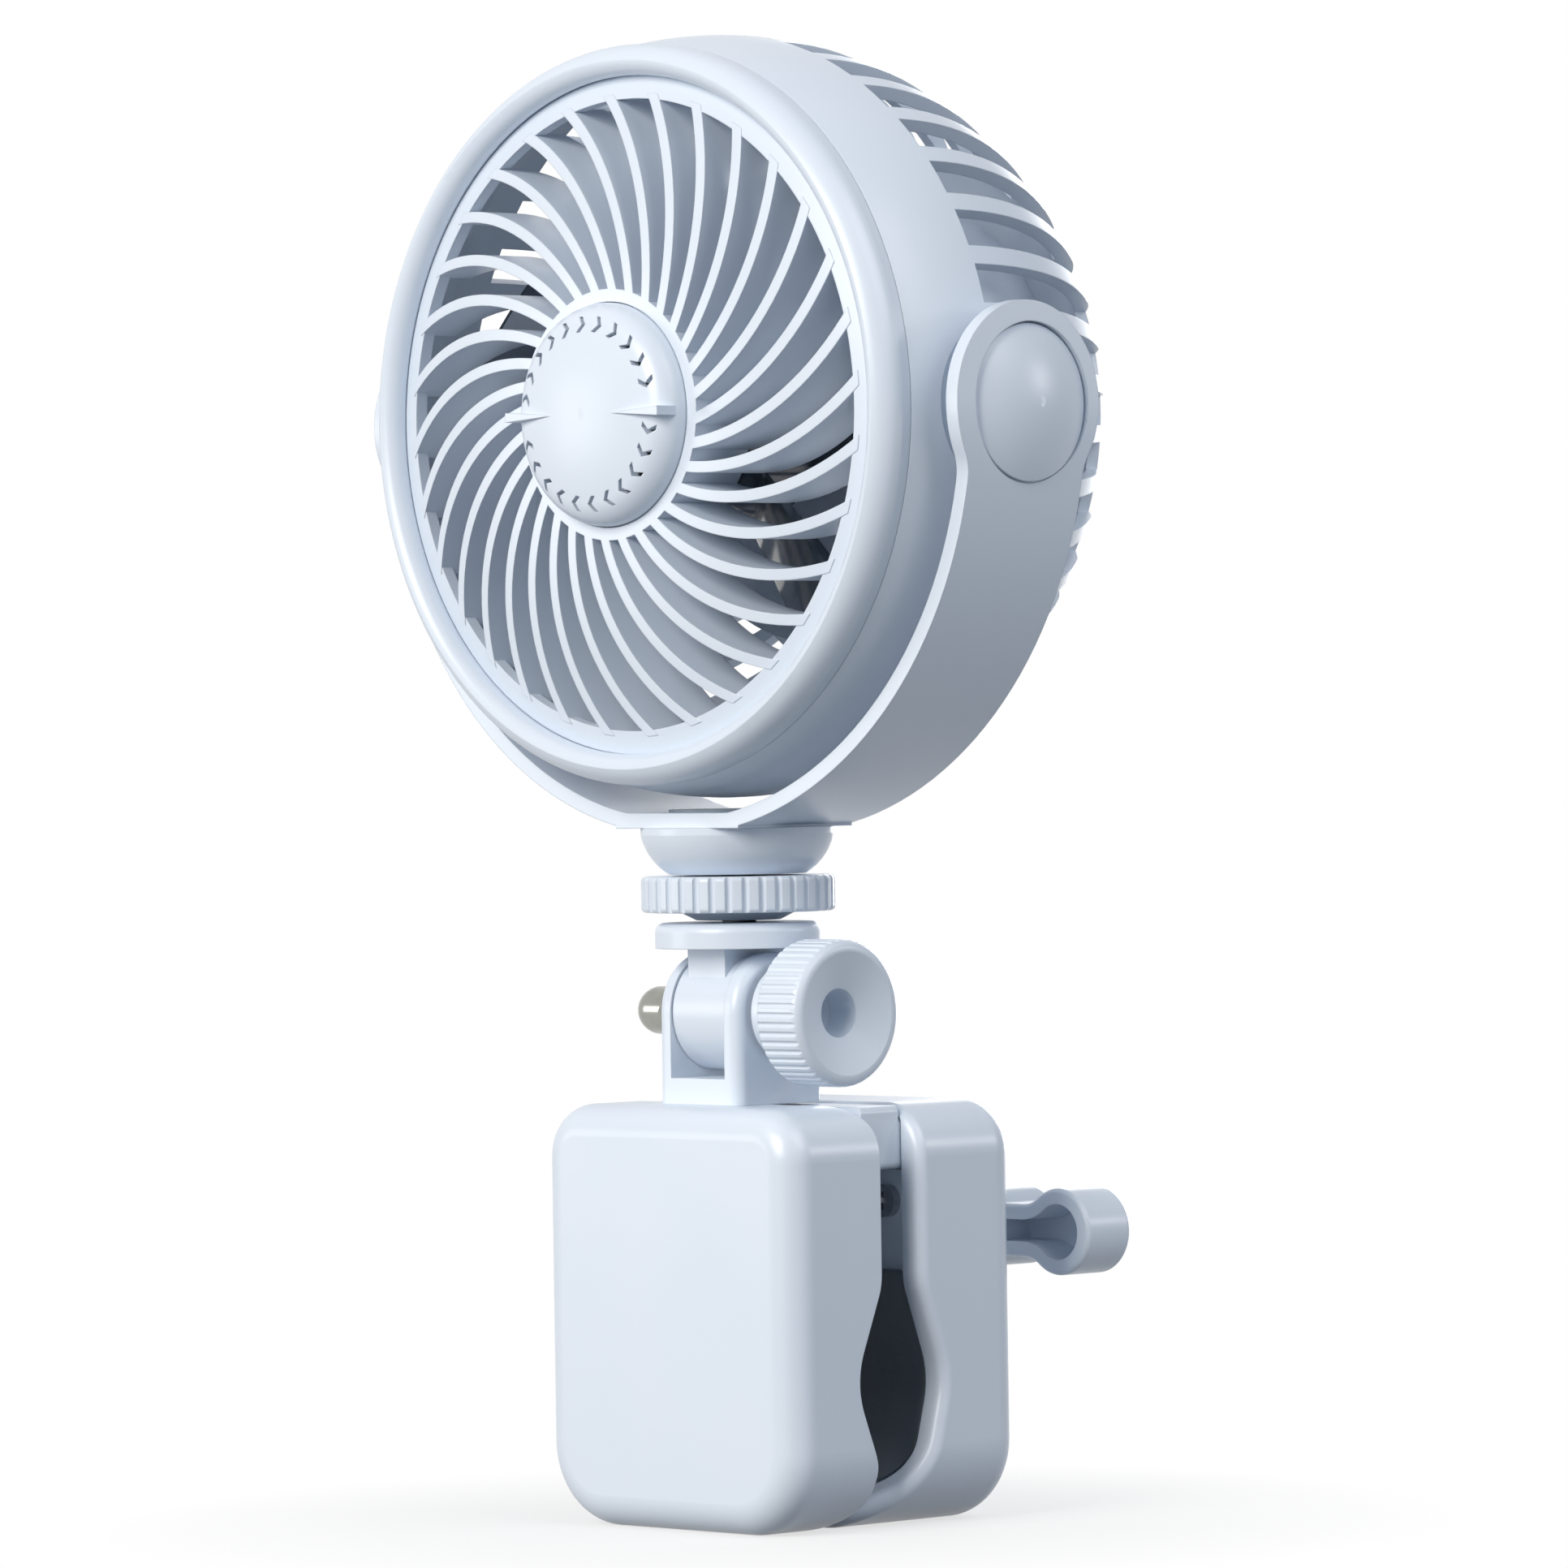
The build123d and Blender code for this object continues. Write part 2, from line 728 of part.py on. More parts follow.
# Screws of the rear plate
with BuildPart() as rear_plate_screws:
    with Locations(*[facing_front(x, rear_plate_front, z) for x, z in plate_screw_places]):
        add(plate_screw)
rear_plate_screws.part.label = "rear_plate_screws"
export_step(rear_plate_screws.part, "parts/rear_plate_screws.step")

# Clamp nut: brass, behind the rear plate
with BuildPart() as clamp_nut:
    with BuildSketch(facing_back(0, rear_plate_back, screw_z)):
        RegularPolygon(nut_flats / sqrt(3), 6)
        Circle(screw_radius + running_gap, mode=Mode.SUBTRACT)
    extrude(amount=nut_length)
clamp_nut.part.label = "clamp_nut"
export_step(clamp_nut.part, "parts/clamp_nut.step")

# Clamp screw: held lengthways by a collar and a ring on the front plate
with BuildPart() as clamp_screw:
    collar_front = front_plate_back + seat_gap
    screw_profile = [
        (screw_front_end, 0),
        (screw_front_end, screw_radius),
        (collar_front, screw_radius),
        (collar_front, collar_radius),
        (collar_front + collar_thickness, collar_radius),
        (collar_front + collar_thickness, screw_radius),
        (screw_rear_end, screw_radius),
        (screw_rear_end, 0),
    ]
    revolve(polygon_face(screw_section, screw_profile), axis=screw_axis)
    with BuildSketch(facing_front(0, screw_rear_end, screw_z)):
        Circle(handle_screw_radius + running_gap)
    extrude(amount=handle_screw_length, mode=Mode.SUBTRACT)
clamp_screw.part.label = "clamp_screw"
export_step(clamp_screw.part, "parts/clamp_screw.step")

# Thrust ring on the front end of the clamp screw
with BuildPart() as thrust_ring:
    with BuildSketch(facing_front(0, front_plate_front - seat_gap, screw_z)):
        Circle(ring_radius)
        Circle(screw_radius + seat_gap, mode=Mode.SUBTRACT)
    extrude(amount=ring_thickness)
thrust_ring.part.label = "thrust_ring"
export_step(thrust_ring.part, "parts/thrust_ring.step")

# Wing handle: two hollow lobes, open towards the jaw, and a boss behind them
with BuildSketch(facing_front(0, handle_far, screw_z)) as wing:
    with Locations((-handle_lobe_x, 0), (handle_lobe_x, 0)):
        Circle(handle_lobe_radius)
    Rectangle(2 * handle_lobe_x, 2 * handle_waist)
    fillet(wing.vertices(), radius=handle_blend)
with BuildPart() as wing_handle:
    extrude(wing.sketch, amount=handle_depth)
    fillet(wing_handle.faces().filter_by(Axis.Y).edges(), radius=handle_edge_round)
    with BuildSketch(facing_front(0, handle_far - handle_web, screw_z)):
        add(offset(wing.sketch_local, amount=-handle_wall, mode=Mode.PRIVATE))
        Circle(handle_boss_radius, mode=Mode.SUBTRACT)
    extrude(amount=handle_depth, mode=Mode.SUBTRACT)
    with BuildSketch(facing_front(0, handle_far - handle_web, screw_z)):
        Circle(handle_boss_radius)
    extrude(amount=handle_depth - handle_web)
    with BuildSketch(facing_back(0, handle_far - handle_web, screw_z)):
        Circle(handle_boss_radius)
    extrude(amount=handle_web + handle_boss_rear)
    fillet(wing_handle.edges().sort_by(Axis.Y)[-1], radius=handle_boss_round)
    with BuildSketch(facing_back(0, handle_near, screw_z)):
        Circle(screw_radius + running_gap)
    extrude(amount=screw_seat_depth, mode=Mode.SUBTRACT)
    with Locations(facing_back(0, handle_rear, screw_z)):
        CounterSinkHole(
            handle_screw_radius + running_gap,
            handle_screw_head + running_gap,
            depth=handle_rear - handle_near,
            counter_sink_angle=sink_angle(
                handle_screw_head, handle_screw_radius, handle_screw_head_height
            ),
        )
wing_handle.part.label = "wing_handle"
export_step(wing_handle.part, "parts/wing_handle.step")

# Screw that holds the wing on the clamp screw
handle_fastener = sunk_screw(
    handle_screw_radius, handle_screw_length, handle_screw_head, handle_screw_head_height
)
with BuildPart() as handle_screw:
    with Locations(facing_back(0, handle_rear, screw_z)):
        add(handle_fastener)
handle_screw.part.label = "handle_screw"
export_step(handle_screw.part, "parts/handle_screw.step")

# Fork of the tilt joint, on top of the front jaw
with BuildPart() as clevis:
    with BuildSketch(Plane.YZ) as fork_side:
        with Locations((stand_y, jaw_top + tilt_height / 2)):
            Rectangle(fork_depth, tilt_height)
        with Locations((stand_y, tilt_z)):
            Circle(fork_depth / 2)
    extrude(amount=fork_width / 2, both=True)
    cheek_edges = clevis.faces().filter_by(Axis.X).edges()
    fillet(cheek_edges.filter_by(lambda e: e.center().Z > jaw_top + seat_gap), radius=fork_round)
    with BuildSketch(Plane.XY.offset(fork_floor_top)):
        with Locations((0, stand_y)):
            Rectangle(fork_window, 2 * fork_depth)
    extrude(amount=2 * tilt_height, mode=Mode.SUBTRACT)
    with BuildSketch(facing_right(0, stand_y, tilt_z)):
        Circle(bolt_radius + running_gap)
    extrude(amount=fork_width, both=True, mode=Mode.SUBTRACT)
    with BuildSketch(Plane.XY.offset(jaw_top)):
        with Locations(*[(side * fork_screw_x, stand_y + fork_screw_y) for side in (-1, 1)]):
            Circle(fork_screw_radius + running_gap)
    extrude(amount=fork_screw_bite, mode=Mode.SUBTRACT)
clevis.part.label = "clevis"
export_step(clevis.part, "parts/clevis.step")

# Screws up through the guide arm and the jaw's roof into the fork
fork_screw = pan_screw(
    fork_screw_radius,
    jaw_top + fork_screw_bite - arm_bottom,
    fork_screw_head,
    fork_screw_head_height,
)
with BuildPart() as clevis_screws:
    for side in (-1, 1):
        place = Plane(
            (side * fork_screw_x, stand_y + fork_screw_y, arm_bottom), x_dir=(1, 0, 0), z_dir=(0, 0, -1)
        )
        with Locations(place):
            add(fork_screw)
clevis_screws.part.label = "clevis_screws"
export_step(clevis_screws.part, "parts/clevis_screws.step")

# Tilt plate: barrel between the fork's cheeks, stem and round plate
barrel_width = fork_window - 2 * barrel_gap
with BuildPart() as tilt_plate:
    with BuildSketch(facing_right(0, stand_y, tilt_z)):
        Circle(barrel_radius)
    extrude(amount=barrel_width / 2, both=True)
    with BuildSketch(Plane.XY.offset(tilt_z)):
        with Locations((0, stand_y)):
            Rectangle(stem_width, stem_depth)
    extrude(amount=tilt_disc_rise)
    with BuildSketch(Plane.XY.offset(tilt_disc_bottom)):
        with Locations((0, stand_y)):
            Circle(tilt_disc_radius)
    extrude(amount=tilt_disc_thickness)
    fillet(tilt_plate.edges().sort_by(Axis.Z)[-1], radius=tilt_disc_round)
    with BuildSketch(facing_right(0, stand_y, tilt_z)):
        Circle(bolt_radius + running_gap)
    extrude(amount=barrel_width, both=True, mode=Mode.SUBTRACT)
    with BuildSketch(Plane.XY.offset(tilt_disc_top)):
        with Locations((0, stand_y)):
            Circle(stud_radius + seat_gap)
    extrude(amount=-stud_foot - tilt_disc_thickness, mode=Mode.SUBTRACT)
tilt_plate.part.label = "tilt_plate"
export_step(tilt_plate.part, "parts/tilt_plate.step")

# Stud that the lock ring and the neck screw on to
stud_foot_z = tilt_disc_bottom - stud_foot
with BuildPart() as mount_stud:
    with BuildSketch(Plane.XY.offset(stud_foot_z)):
        with Locations((0, stand_y)):
            Circle(stud_radius)
    extrude(amount=tilt_disc_top + stud_rise - stud_foot_z)
    chamfer(mount_stud.edges().sort_by(Axis.Z)[-1], length=stud_chamfer)
mount_stud.part.label = "mount_stud"
export_step(mount_stud.part, "parts/mount_stud.step")

# Tilt bolt: its head sits in the hand knob and bears on the washer
washer_near = fork_width / 2 + seat_gap
washer_far = washer_near + washer_thickness
with BuildPart() as tilt_bolt:
    with BuildSketch(facing_right(-bolt_end, stand_y, tilt_z)):
        Circle(bolt_radius)
    extrude(amount=bolt_end + washer_far)
    with BuildSketch(facing_right(washer_far, stand_y, tilt_z)):
        RegularPolygon(bolt_head_radius, 6)
    extrude(amount=bolt_head_height)
tilt_bolt.part.label = "tilt_bolt"
export_step(tilt_bolt.part, "parts/tilt_bolt.step")

# Washer between the knob and the fork
with BuildPart() as knob_washer:
    with BuildSketch(facing_right(washer_near, stand_y, tilt_z)):
        Circle(washer_radius)
        Circle(bolt_radius + running_gap, mode=Mode.SUBTRACT)
    extrude(amount=washer_thickness)
knob_washer.part.label = "knob_washer"
export_step(knob_washer.part, "parts/knob_washer.step")

# Hand knob: collar, fluted rim and dished face with a blind hole
knob_far = knob_near + knob_length
with BuildPart() as tilt_knob:
    knob_profile = [
        (washer_far, 0),
        (washer_far, knob_collar_radius),
        (knob_near, knob_collar_radius),
        (knob_near, knob_radius),
        (knob_far, knob_radius),
        (knob_far, knob_dish_radius),
        (knob_far - knob_dish_depth, knob_hole_radius),
        (knob_far - knob_hole_depth, knob_hole_radius),
        (knob_far - knob_hole_depth, 0),
    ]
    revolve(polygon_face(tilt_section, knob_profile), axis=tilt_axis)
    rim_edges = tilt_knob.edges().filter_by(GeomType.CIRCLE)
    rim_edges = rim_edges.filter_by(lambda e: abs(e.radius - knob_radius) < seat_gap).sort_by(Axis.X)
    fillet(rim_edges[-1], radius=knob_round)
    fillet(rim_edges[0], radius=knob_rear_round)
    with BuildSketch(facing_right(knob_near, stand_y, tilt_z)):
        with PolarLocations(knob_radius + knob_flute_radius - knob_flute_depth, knob_flutes):
            Circle(knob_flute_radius)
    extrude(amount=knob_length, mode=Mode.SUBTRACT)
    with BuildSketch(facing_right(washer_far, stand_y, tilt_z)):
        RegularPolygon(bolt_head_radius + running_gap, 6)
    extrude(amount=bolt_head_height + seat_gap, mode=Mode.SUBTRACT)
tilt_knob.part.label = "tilt_knob"
export_step(tilt_knob.part, "parts/tilt_knob.step")

# Plated dome nut on the bolt's far end
with BuildPart() as dome_nut:
    nut_face = -fork_width / 2
    dome_radius = dome_nut_flats / 2 - dome_nut_step
    with BuildSketch(facing_right(nut_face, stand_y, tilt_z)):
        RegularPolygon(dome_nut_flats / sqrt(3), 6)
    extrude(amount=-dome_nut_hex)
    with BuildSketch(tilt_section):
        with BuildLine():
            dome_base = nut_face - dome_nut_hex
            dome_start = nut_face - dome_nut_length + dome_radius
            dome_top = (nut_face - dome_nut_length, 0)
            Polyline(dome_top, (dome_base, 0), (dome_base, dome_radius), (dome_start, dome_radius))
            ThreePointArc(
                (dome_start, dome_radius), arc_middle((dome_start, 0), dome_radius, 135), dome_top
            )
        make_face()
    revolve(axis=tilt_axis)
    with BuildSketch(facing_right(nut_face, stand_y, tilt_z)):
        Circle(bolt_radius + running_gap)
    extrude(amount=-dome_nut_bore_depth, mode=Mode.SUBTRACT)
dome_nut.part.label = "dome_nut"
export_step(dome_nut.part, "parts/dome_nut.step")

# Lock ring: fluted disc with a cone under it, threaded on the stud
with BuildPart() as lock_ring:
    bore = stud_radius + running_gap
    cone_bottom = lock_ring_bottom - lock_ring_cone_height
    ring_profile = [
        (bore, cone_bottom),
        (lock_ring_cone_foot, cone_bottom),
        (lock_ring_cone_top, lock_ring_bottom),
        (lock_ring_radius, lock_ring_bottom),
        (lock_ring_radius, lock_ring_top),
        (bore, lock_ring_top),
    ]
    revolve(polygon_face(stand_section, ring_profile), axis=stand_axis)
    rim_edges = lock_ring.edges().filter_by(GeomType.CIRCLE)
    rim_edges = rim_edges.filter_by(lambda e: abs(e.radius - lock_ring_radius) < seat_gap)
    fillet(rim_edges, radius=lock_ring_round)
    with BuildSketch(Plane((0, stand_y, lock_ring_bottom))):
        with PolarLocations(lock_ring_radius, lock_ring_flutes):
            Circle(lock_ring_flute_radius)
    extrude(amount=lock_ring_height, mode=Mode.SUBTRACT)
lock_ring.part.label = "lock_ring"
export_step(lock_ring.part, "parts/lock_ring.step")

# Neck cup: bowl under the yoke, with a seat for the threaded insert
neck_screw_places = [(side * neck_screw_x, stand_y) for side in (-1, 1)]
insert_bottom = cup_top - insert_length
with BuildPart() as neck_cup:
    with BuildSketch(stand_section):
        with BuildLine():
            bowl_middle = (cup_bulge_radius, cup_bottom + cup_bulge_rise)
            Polyline(
                (cup_top_radius, cup_top - cup_rim),
                (cup_top_radius, cup_top),
                (0, cup_top),
                (0, cup_bottom),
                (cup_foot_radius, cup_bottom),
            )
            ThreePointArc(
                (cup_foot_radius, cup_bottom), bowl_middle, (cup_top_radius, cup_top - cup_rim)
            )
        make_face()
    revolve(axis=stand_axis)
    with BuildSketch(Plane((0, stand_y, cup_top))):
        Circle(insert_radius + running_gap)
    extrude(amount=-insert_length, mode=Mode.SUBTRACT)
    with BuildSketch(Plane((0, stand_y, cup_top))):
        Circle(stud_radius + slide_gap)
    extrude(amount=-cup_height, mode=Mode.SUBTRACT)
    with BuildSketch(Plane.XY.offset(cup_top)):
        with Locations(*neck_screw_places):
            Circle(neck_screw_radius + running_gap)
    extrude(amount=-neck_screw_length + yoke_thickness, mode=Mode.SUBTRACT)
neck_cup.part.label = "neck_cup"
export_step(neck_cup.part, "parts/neck_cup.step")

# Threaded brass insert of the neck
with BuildPart() as neck_insert:
    with BuildSketch(Plane((0, stand_y, insert_bottom))):
        Circle(insert_radius)
        Circle(stud_radius + running_gap, mode=Mode.SUBTRACT)
    extrude(amount=insert_length)
neck_insert.part.label = "neck_insert"
export_step(neck_insert.part, "parts/neck_insert.step")

# Yoke: half ring with a flat bottom and a round boss at each pivot
yoke_front_view = Plane((0, stand_y, pivot_z), x_dir=(1, 0, 0), z_dir=(0, -1, 0))
pivot_view = Plane((0, stand_y, pivot_z), x_dir=(0, 1, 0), z_dir=(1, 0, 0))
cap_floor_x = yoke_inner_radius + cap_floor
with BuildPart() as yoke:
    with BuildSketch(yoke_front_view) as band_view:
        Circle(yoke_outer_radius)
        with Locations((0, yoke_boss_radius)):
            Rectangle(2 * yoke_outer_radius, 2 * yoke_boss_radius)
        Circle(yoke_inner_radius, mode=Mode.SUBTRACT)
        with Locations((0, yoke_boss_radius)):
            Rectangle(2 * yoke_inner_radius, 2 * yoke_boss_radius, mode=Mode.SUBTRACT)
        with Locations((0, 2 * yoke_boss_radius + yoke_outer_radius)):
            Rectangle(3 * yoke_outer_radius, 2 * yoke_outer_radius, mode=Mode.SUBTRACT)
        flat_reach = sqrt(yoke_inner_radius**2 - yoke_flat_drop**2) + yoke_thickness
        with Locations((0, -yoke_flat_drop - yoke_thickness / 2)):
            Rectangle(2 * flat_reach, yoke_thickness)
        with Locations((0, -yoke_flat_drop - yoke_thickness - yoke_outer_radius)):
            Rectangle(2 * yoke_outer_radius, 2 * yoke_outer_radius, mode=Mode.SUBTRACT)
    extrude(amount=yoke_boss_radius + yoke_boss_forward, both=True)
    with BuildSketch(pivot_view) as arm_view:
        with Locations(((yoke_rear_half - yoke_front_half) / 2, -yoke_outer_radius)):
            Rectangle(yoke_rear_half + yoke_front_half, 2 * yoke_outer_radius)
        with Locations((-yoke_boss_forward, 0)):
            Circle(yoke_boss_radius)
        neck_corners = arm_view.vertices().filter_by(lambda v: -yoke_boss_radius < v.Y < 0)
        fillet(neck_corners, radius=yoke_neck_round)
    extrude(amount=2 * yoke_outer_radius, both=True, mode=Mode.INTERSECT)
    for side in (-1, 1):
        with BuildSketch(facing_right(side * cap_floor_x, stand_y, pivot_z)):
            Circle(cap_radius + cap_recess_play)
        extrude(amount=side * yoke_thickness, mode=Mode.SUBTRACT)
    with BuildSketch(pivot_view):
        Circle(pivot_seat_radius)
    extrude(amount=yoke_inner_radius, both=True, mode=Mode.SUBTRACT)
    with BuildSketch(pivot_view):
        Circle(pin_radius + running_gap)
    extrude(amount=2 * yoke_outer_radius, both=True, mode=Mode.SUBTRACT)
    with Locations(*[Plane((x, y, yoke_floor)) for x, y in neck_screw_places]):
        CounterSinkHole(
            neck_screw_radius + running_gap,
            neck_screw_head + running_gap,
            depth=yoke_thickness,
            counter_sink_angle=sink_angle(neck_screw_head, neck_screw_radius, neck_screw_head_height),
        )
yoke.part.label = "yoke"
export_step(yoke.part, "parts/yoke.step")

# Screws down through the yoke into the neck cup
neck_screw = sunk_screw(
    neck_screw_radius, neck_screw_length, neck_screw_head, neck_screw_head_height
)
with BuildPart() as neck_screws:
    with Locations(*[Plane((x, y, yoke_floor)) for x, y in neck_screw_places]):
        add(neck_screw)
neck_screws.part.label = "neck_screws"
export_step(neck_screws.part, "parts/neck_screws.step")

# Disc that hides the screws inside the yoke
with BuildPart() as yoke_cover:
    with BuildSketch(Plane((0, stand_y, yoke_floor))):
        Circle(yoke_cover_radius)
    extrude(amount=yoke_cover_thickness)
yoke_cover.part.label = "yoke_cover"
export_step(yoke_cover.part, "parts/yoke_cover.step")


def pivot_cap(side):
    """Domed cover of a pivot, on the right (side 1) or the left (side -1)."""
    rim_top = cap_floor_x + cap_rim
    apex = rim_top + cap_rise
    section = Plane((0, stand_y, pivot_z), x_dir=(side, 0, 0), z_dir=(0, -side, 0))
    dome_middle = (rim_top + dome_rise(cap_radius, cap_rise, cap_radius / 2), cap_radius / 2)
    with BuildPart() as cap:
        with BuildSketch(section):
            with BuildLine():
                Polyline(
                    (apex, 0),
                    (cap_floor_x + cap_hollow_depth, 0),
                    (cap_floor_x + cap_hollow_depth, cap_hollow_radius),
                    (cap_floor_x, cap_hollow_radius),
                    (cap_floor_x, cap_radius),
                    (rim_top, cap_radius),
                )
                ThreePointArc((rim_top, cap_radius), dome_middle, (apex, 0))
            make_face()
        revolve(axis=Axis((0, stand_y, pivot_z), (1, 0, 0)))
    return cap.part


# Domed covers of the pivots
pivot_cap_left = pivot_cap(-1)
pivot_cap_left.label = "pivot_cap_left"
export_step(pivot_cap_left, "parts/pivot_cap_left.step")
pivot_cap_right = pivot_cap(1)
pivot_cap_right.label = "pivot_cap_right"
export_step(pivot_cap_right, "parts/pivot_cap_right.step")

# Pivot pins: fixed in the head, they turn in the yoke
pin_head_x = cap_floor_x + seat_gap
with BuildPart() as pivot_pins:
    for side in (-1, 1):
        with BuildSketch(facing_right(side * pin_head_x, stand_y, pivot_z)):
            Circle(pin_head_radius)
        extrude(amount=side * pin_head_height)
        with BuildSketch(facing_right(side * pin_head_x, stand_y, pivot_z)):
            Circle(pin_radius)
        extrude(amount=-side * pin_length)
pivot_pins.part.label = "pivot_pins"
export_step(pivot_pins.part, "parts/pivot_pins.step")

# Friction washers between the head and the yoke
pivot_boss_x = yoke_inner_radius - seat_gap - friction_washer_thickness
with BuildPart() as friction_washers:
    for side in (-1, 1):
        with BuildSketch(facing_right(side * pivot_boss_x, stand_y, pivot_z)):
            Circle(friction_washer_radius)
            Circle(pin_radius + running_gap, mode=Mode.SUBTRACT)
        extrude(amount=side * friction_washer_thickness)
friction_washers.part.label = "friction_washers"
export_step(friction_washers.part, "parts/friction_washers.step")

# Front bezel: rounded ring with a ledge for the grille and a spigot for the housing
spigot_radius = housing_front_radius - housing_wall - fit_gap
with BuildPart() as front_bezel:
    with BuildSketch(fan_section):
        with BuildLine():
            crest = (bezel_crest_radius, -bezel_crest)
            widest = (bezel_radius, bezel_wide_depth)
            lip = (bezel_lip_radius, flange_drop)
            ThreePointArc(lip, (bezel_inner_bend_radius, -bezel_inner_bend), crest)
            ThreePointArc(crest, (bezel_outer_bend_radius, -bezel_outer_bend), widest)
            Polyline(
                widest,
                (housing_front_radius, seam_depth),
                (spigot_radius, seam_depth),
                (spigot_radius, spigot_depth),
                (spigot_radius - spigot_thickness, spigot_depth),
                (spigot_radius - spigot_thickness, flange_thickness + bezel_ledge_thickness),
                (bezel_ledge_radius, flange_thickness + bezel_ledge_thickness),
                (bezel_ledge_radius, flange_thickness),
                (bezel_lip_radius, flange_thickness),
                lip,
            )
        make_face()
    revolve(axis=fan_axis)
front_bezel.part.label = "front_bezel"
export_step(front_bezel.part, "parts/front_bezel.step")


def vane_edge(lean):
    """Points of one long edge of a guard vane, lean being -1 or 1, on the fan's face."""
    points = []
    for radius in (vane_inner_radius, (vane_inner_radius + vane_outer_radius) / 2, vane_outer_radius):
        turn = vane_start_angle + vane_sweep * (radius - hub_ring_radius)
        slope = radius * radians(vane_sweep)
        half_width = degrees(vane_thickness / 2 * sqrt(1 + slope**2) / radius)
        points.append(arc_middle((0, 0), radius, turn + lean * half_width))
    return points


# One guard vane, seen from the front
vane_inner_radius = hub_ring_radius - vane_overlap
vane_outer_radius = opening_radius + vane_overlap
with BuildSketch() as vane:
    with BuildLine():
        low_edge = vane_edge(-1)
        high_edge = vane_edge(1)
        ThreePointArc(*low_edge)
        ThreePointArc(*high_edge)
        Line(low_edge[0], high_edge[0])
        Line(low_edge[2], high_edge[2])
    make_face()


guard_dome_radius = (opening_radius - hub_ring_radius) ** 2 / (2 * guard_fall)


def guard_depth(radius):
    """Depth of the guard's domed front at a radius: the hub ring stands forward of the flange."""
    return (radius - hub_ring_radius) ** 2 / (2 * guard_dome_radius) - hub_ring_rise


# Front grille: vanes cut to the domed front, with flange ring, hub ring and hub floor
with BuildPart() as front_grille:
    with BuildSketch(fan_face.offset(-vane_rear_depth)):
        with PolarLocations(0, vane_count):
            add(vane.sketch)
    extrude(amount=vane_rear_depth + 2 * hub_ring_rise)
    with BuildSketch(fan_section):
        with BuildLine():
            vane_middle_radius = (hub_ring_radius + vane_outer_radius) / 2
            outer_front = (vane_outer_radius, guard_depth(vane_outer_radius))
            ThreePointArc(
                (hub_ring_radius, guard_depth(hub_ring_radius)),
                (vane_middle_radius, guard_depth(vane_middle_radius)),
                outer_front,
            )
            Polyline(
                outer_front,
                (vane_outer_radius, vane_rear_depth),
                (vane_inner_radius, vane_rear_depth),
                (vane_inner_radius, guard_depth(hub_ring_radius)),
                (hub_ring_radius, guard_depth(hub_ring_radius)),
            )
        make_face()
    revolve(axis=fan_axis, mode=Mode.INTERSECT)
    flange_profile = [
        (opening_radius, 0),
        (flange_radius, flange_drop),
        (flange_radius, flange_thickness),
        (opening_radius, flange_thickness),
    ]
    revolve(polygon_face(fan_section, flange_profile), axis=fan_axis)
    hub_profile = [
        (hub_ring_radius, -hub_ring_rise),
        (hub_ring_radius, vane_rear_depth),
        (hub_ring_inner_radius, vane_rear_depth),
        (hub_ring_inner_radius, hub_floor_thickness),
        (0, hub_floor_thickness),
        (0, 0),
        (hub_ring_inner_radius, 0),
        (hub_ring_inner_radius, -hub_ring_rise),
    ]
    revolve(polygon_face(fan_section, hub_profile), axis=fan_axis)
front_grille.part.label = "front_grille"
export_step(front_grille.part, "parts/front_grille.step")

# One chevron perforation of the hub cap, pointing along its circle
with BuildSketch() as chevron:
    arm_x = chevron_arm * sin(radians(chevron_half_angle))
    arm_y = chevron_arm * cos(radians(chevron_half_angle))
    with BuildLine():
        Polyline(
            (chevron_radius - arm_x, arm_y),
            (chevron_radius, 0),
            (chevron_radius + arm_x, arm_y),
            (chevron_radius + arm_x, arm_y + chevron_width),
            (chevron_radius, chevron_width),
            (chevron_radius - arm_x, arm_y + chevron_width),
            close=True,
        )
    make_face()
chevron_turns = [chevron_pitch * step for step in range(int(360 / chevron_pitch))]
chevron_turns = [turn for turn in chevron_turns if turn % 180]


def cap_line(shoulder_radius, shoulder_depth, apex_depth, foot):
    """Section of the hub cap: dome from its apex to the shoulder, then a bend down to the foot."""
    rise = shoulder_depth - apex_depth
    half = shoulder_radius / 2
    half_depth = shoulder_depth - dome_rise(shoulder_radius, rise, half)
    shoulder = (shoulder_radius, shoulder_depth)
    sphere = (shoulder_radius**2 + rise**2) / (2 * rise)
    ThreePointArc((0, apex_depth), (half, half_depth), shoulder)
    TangentArc(shoulder, foot, tangent=(sphere - rise, shoulder_radius))


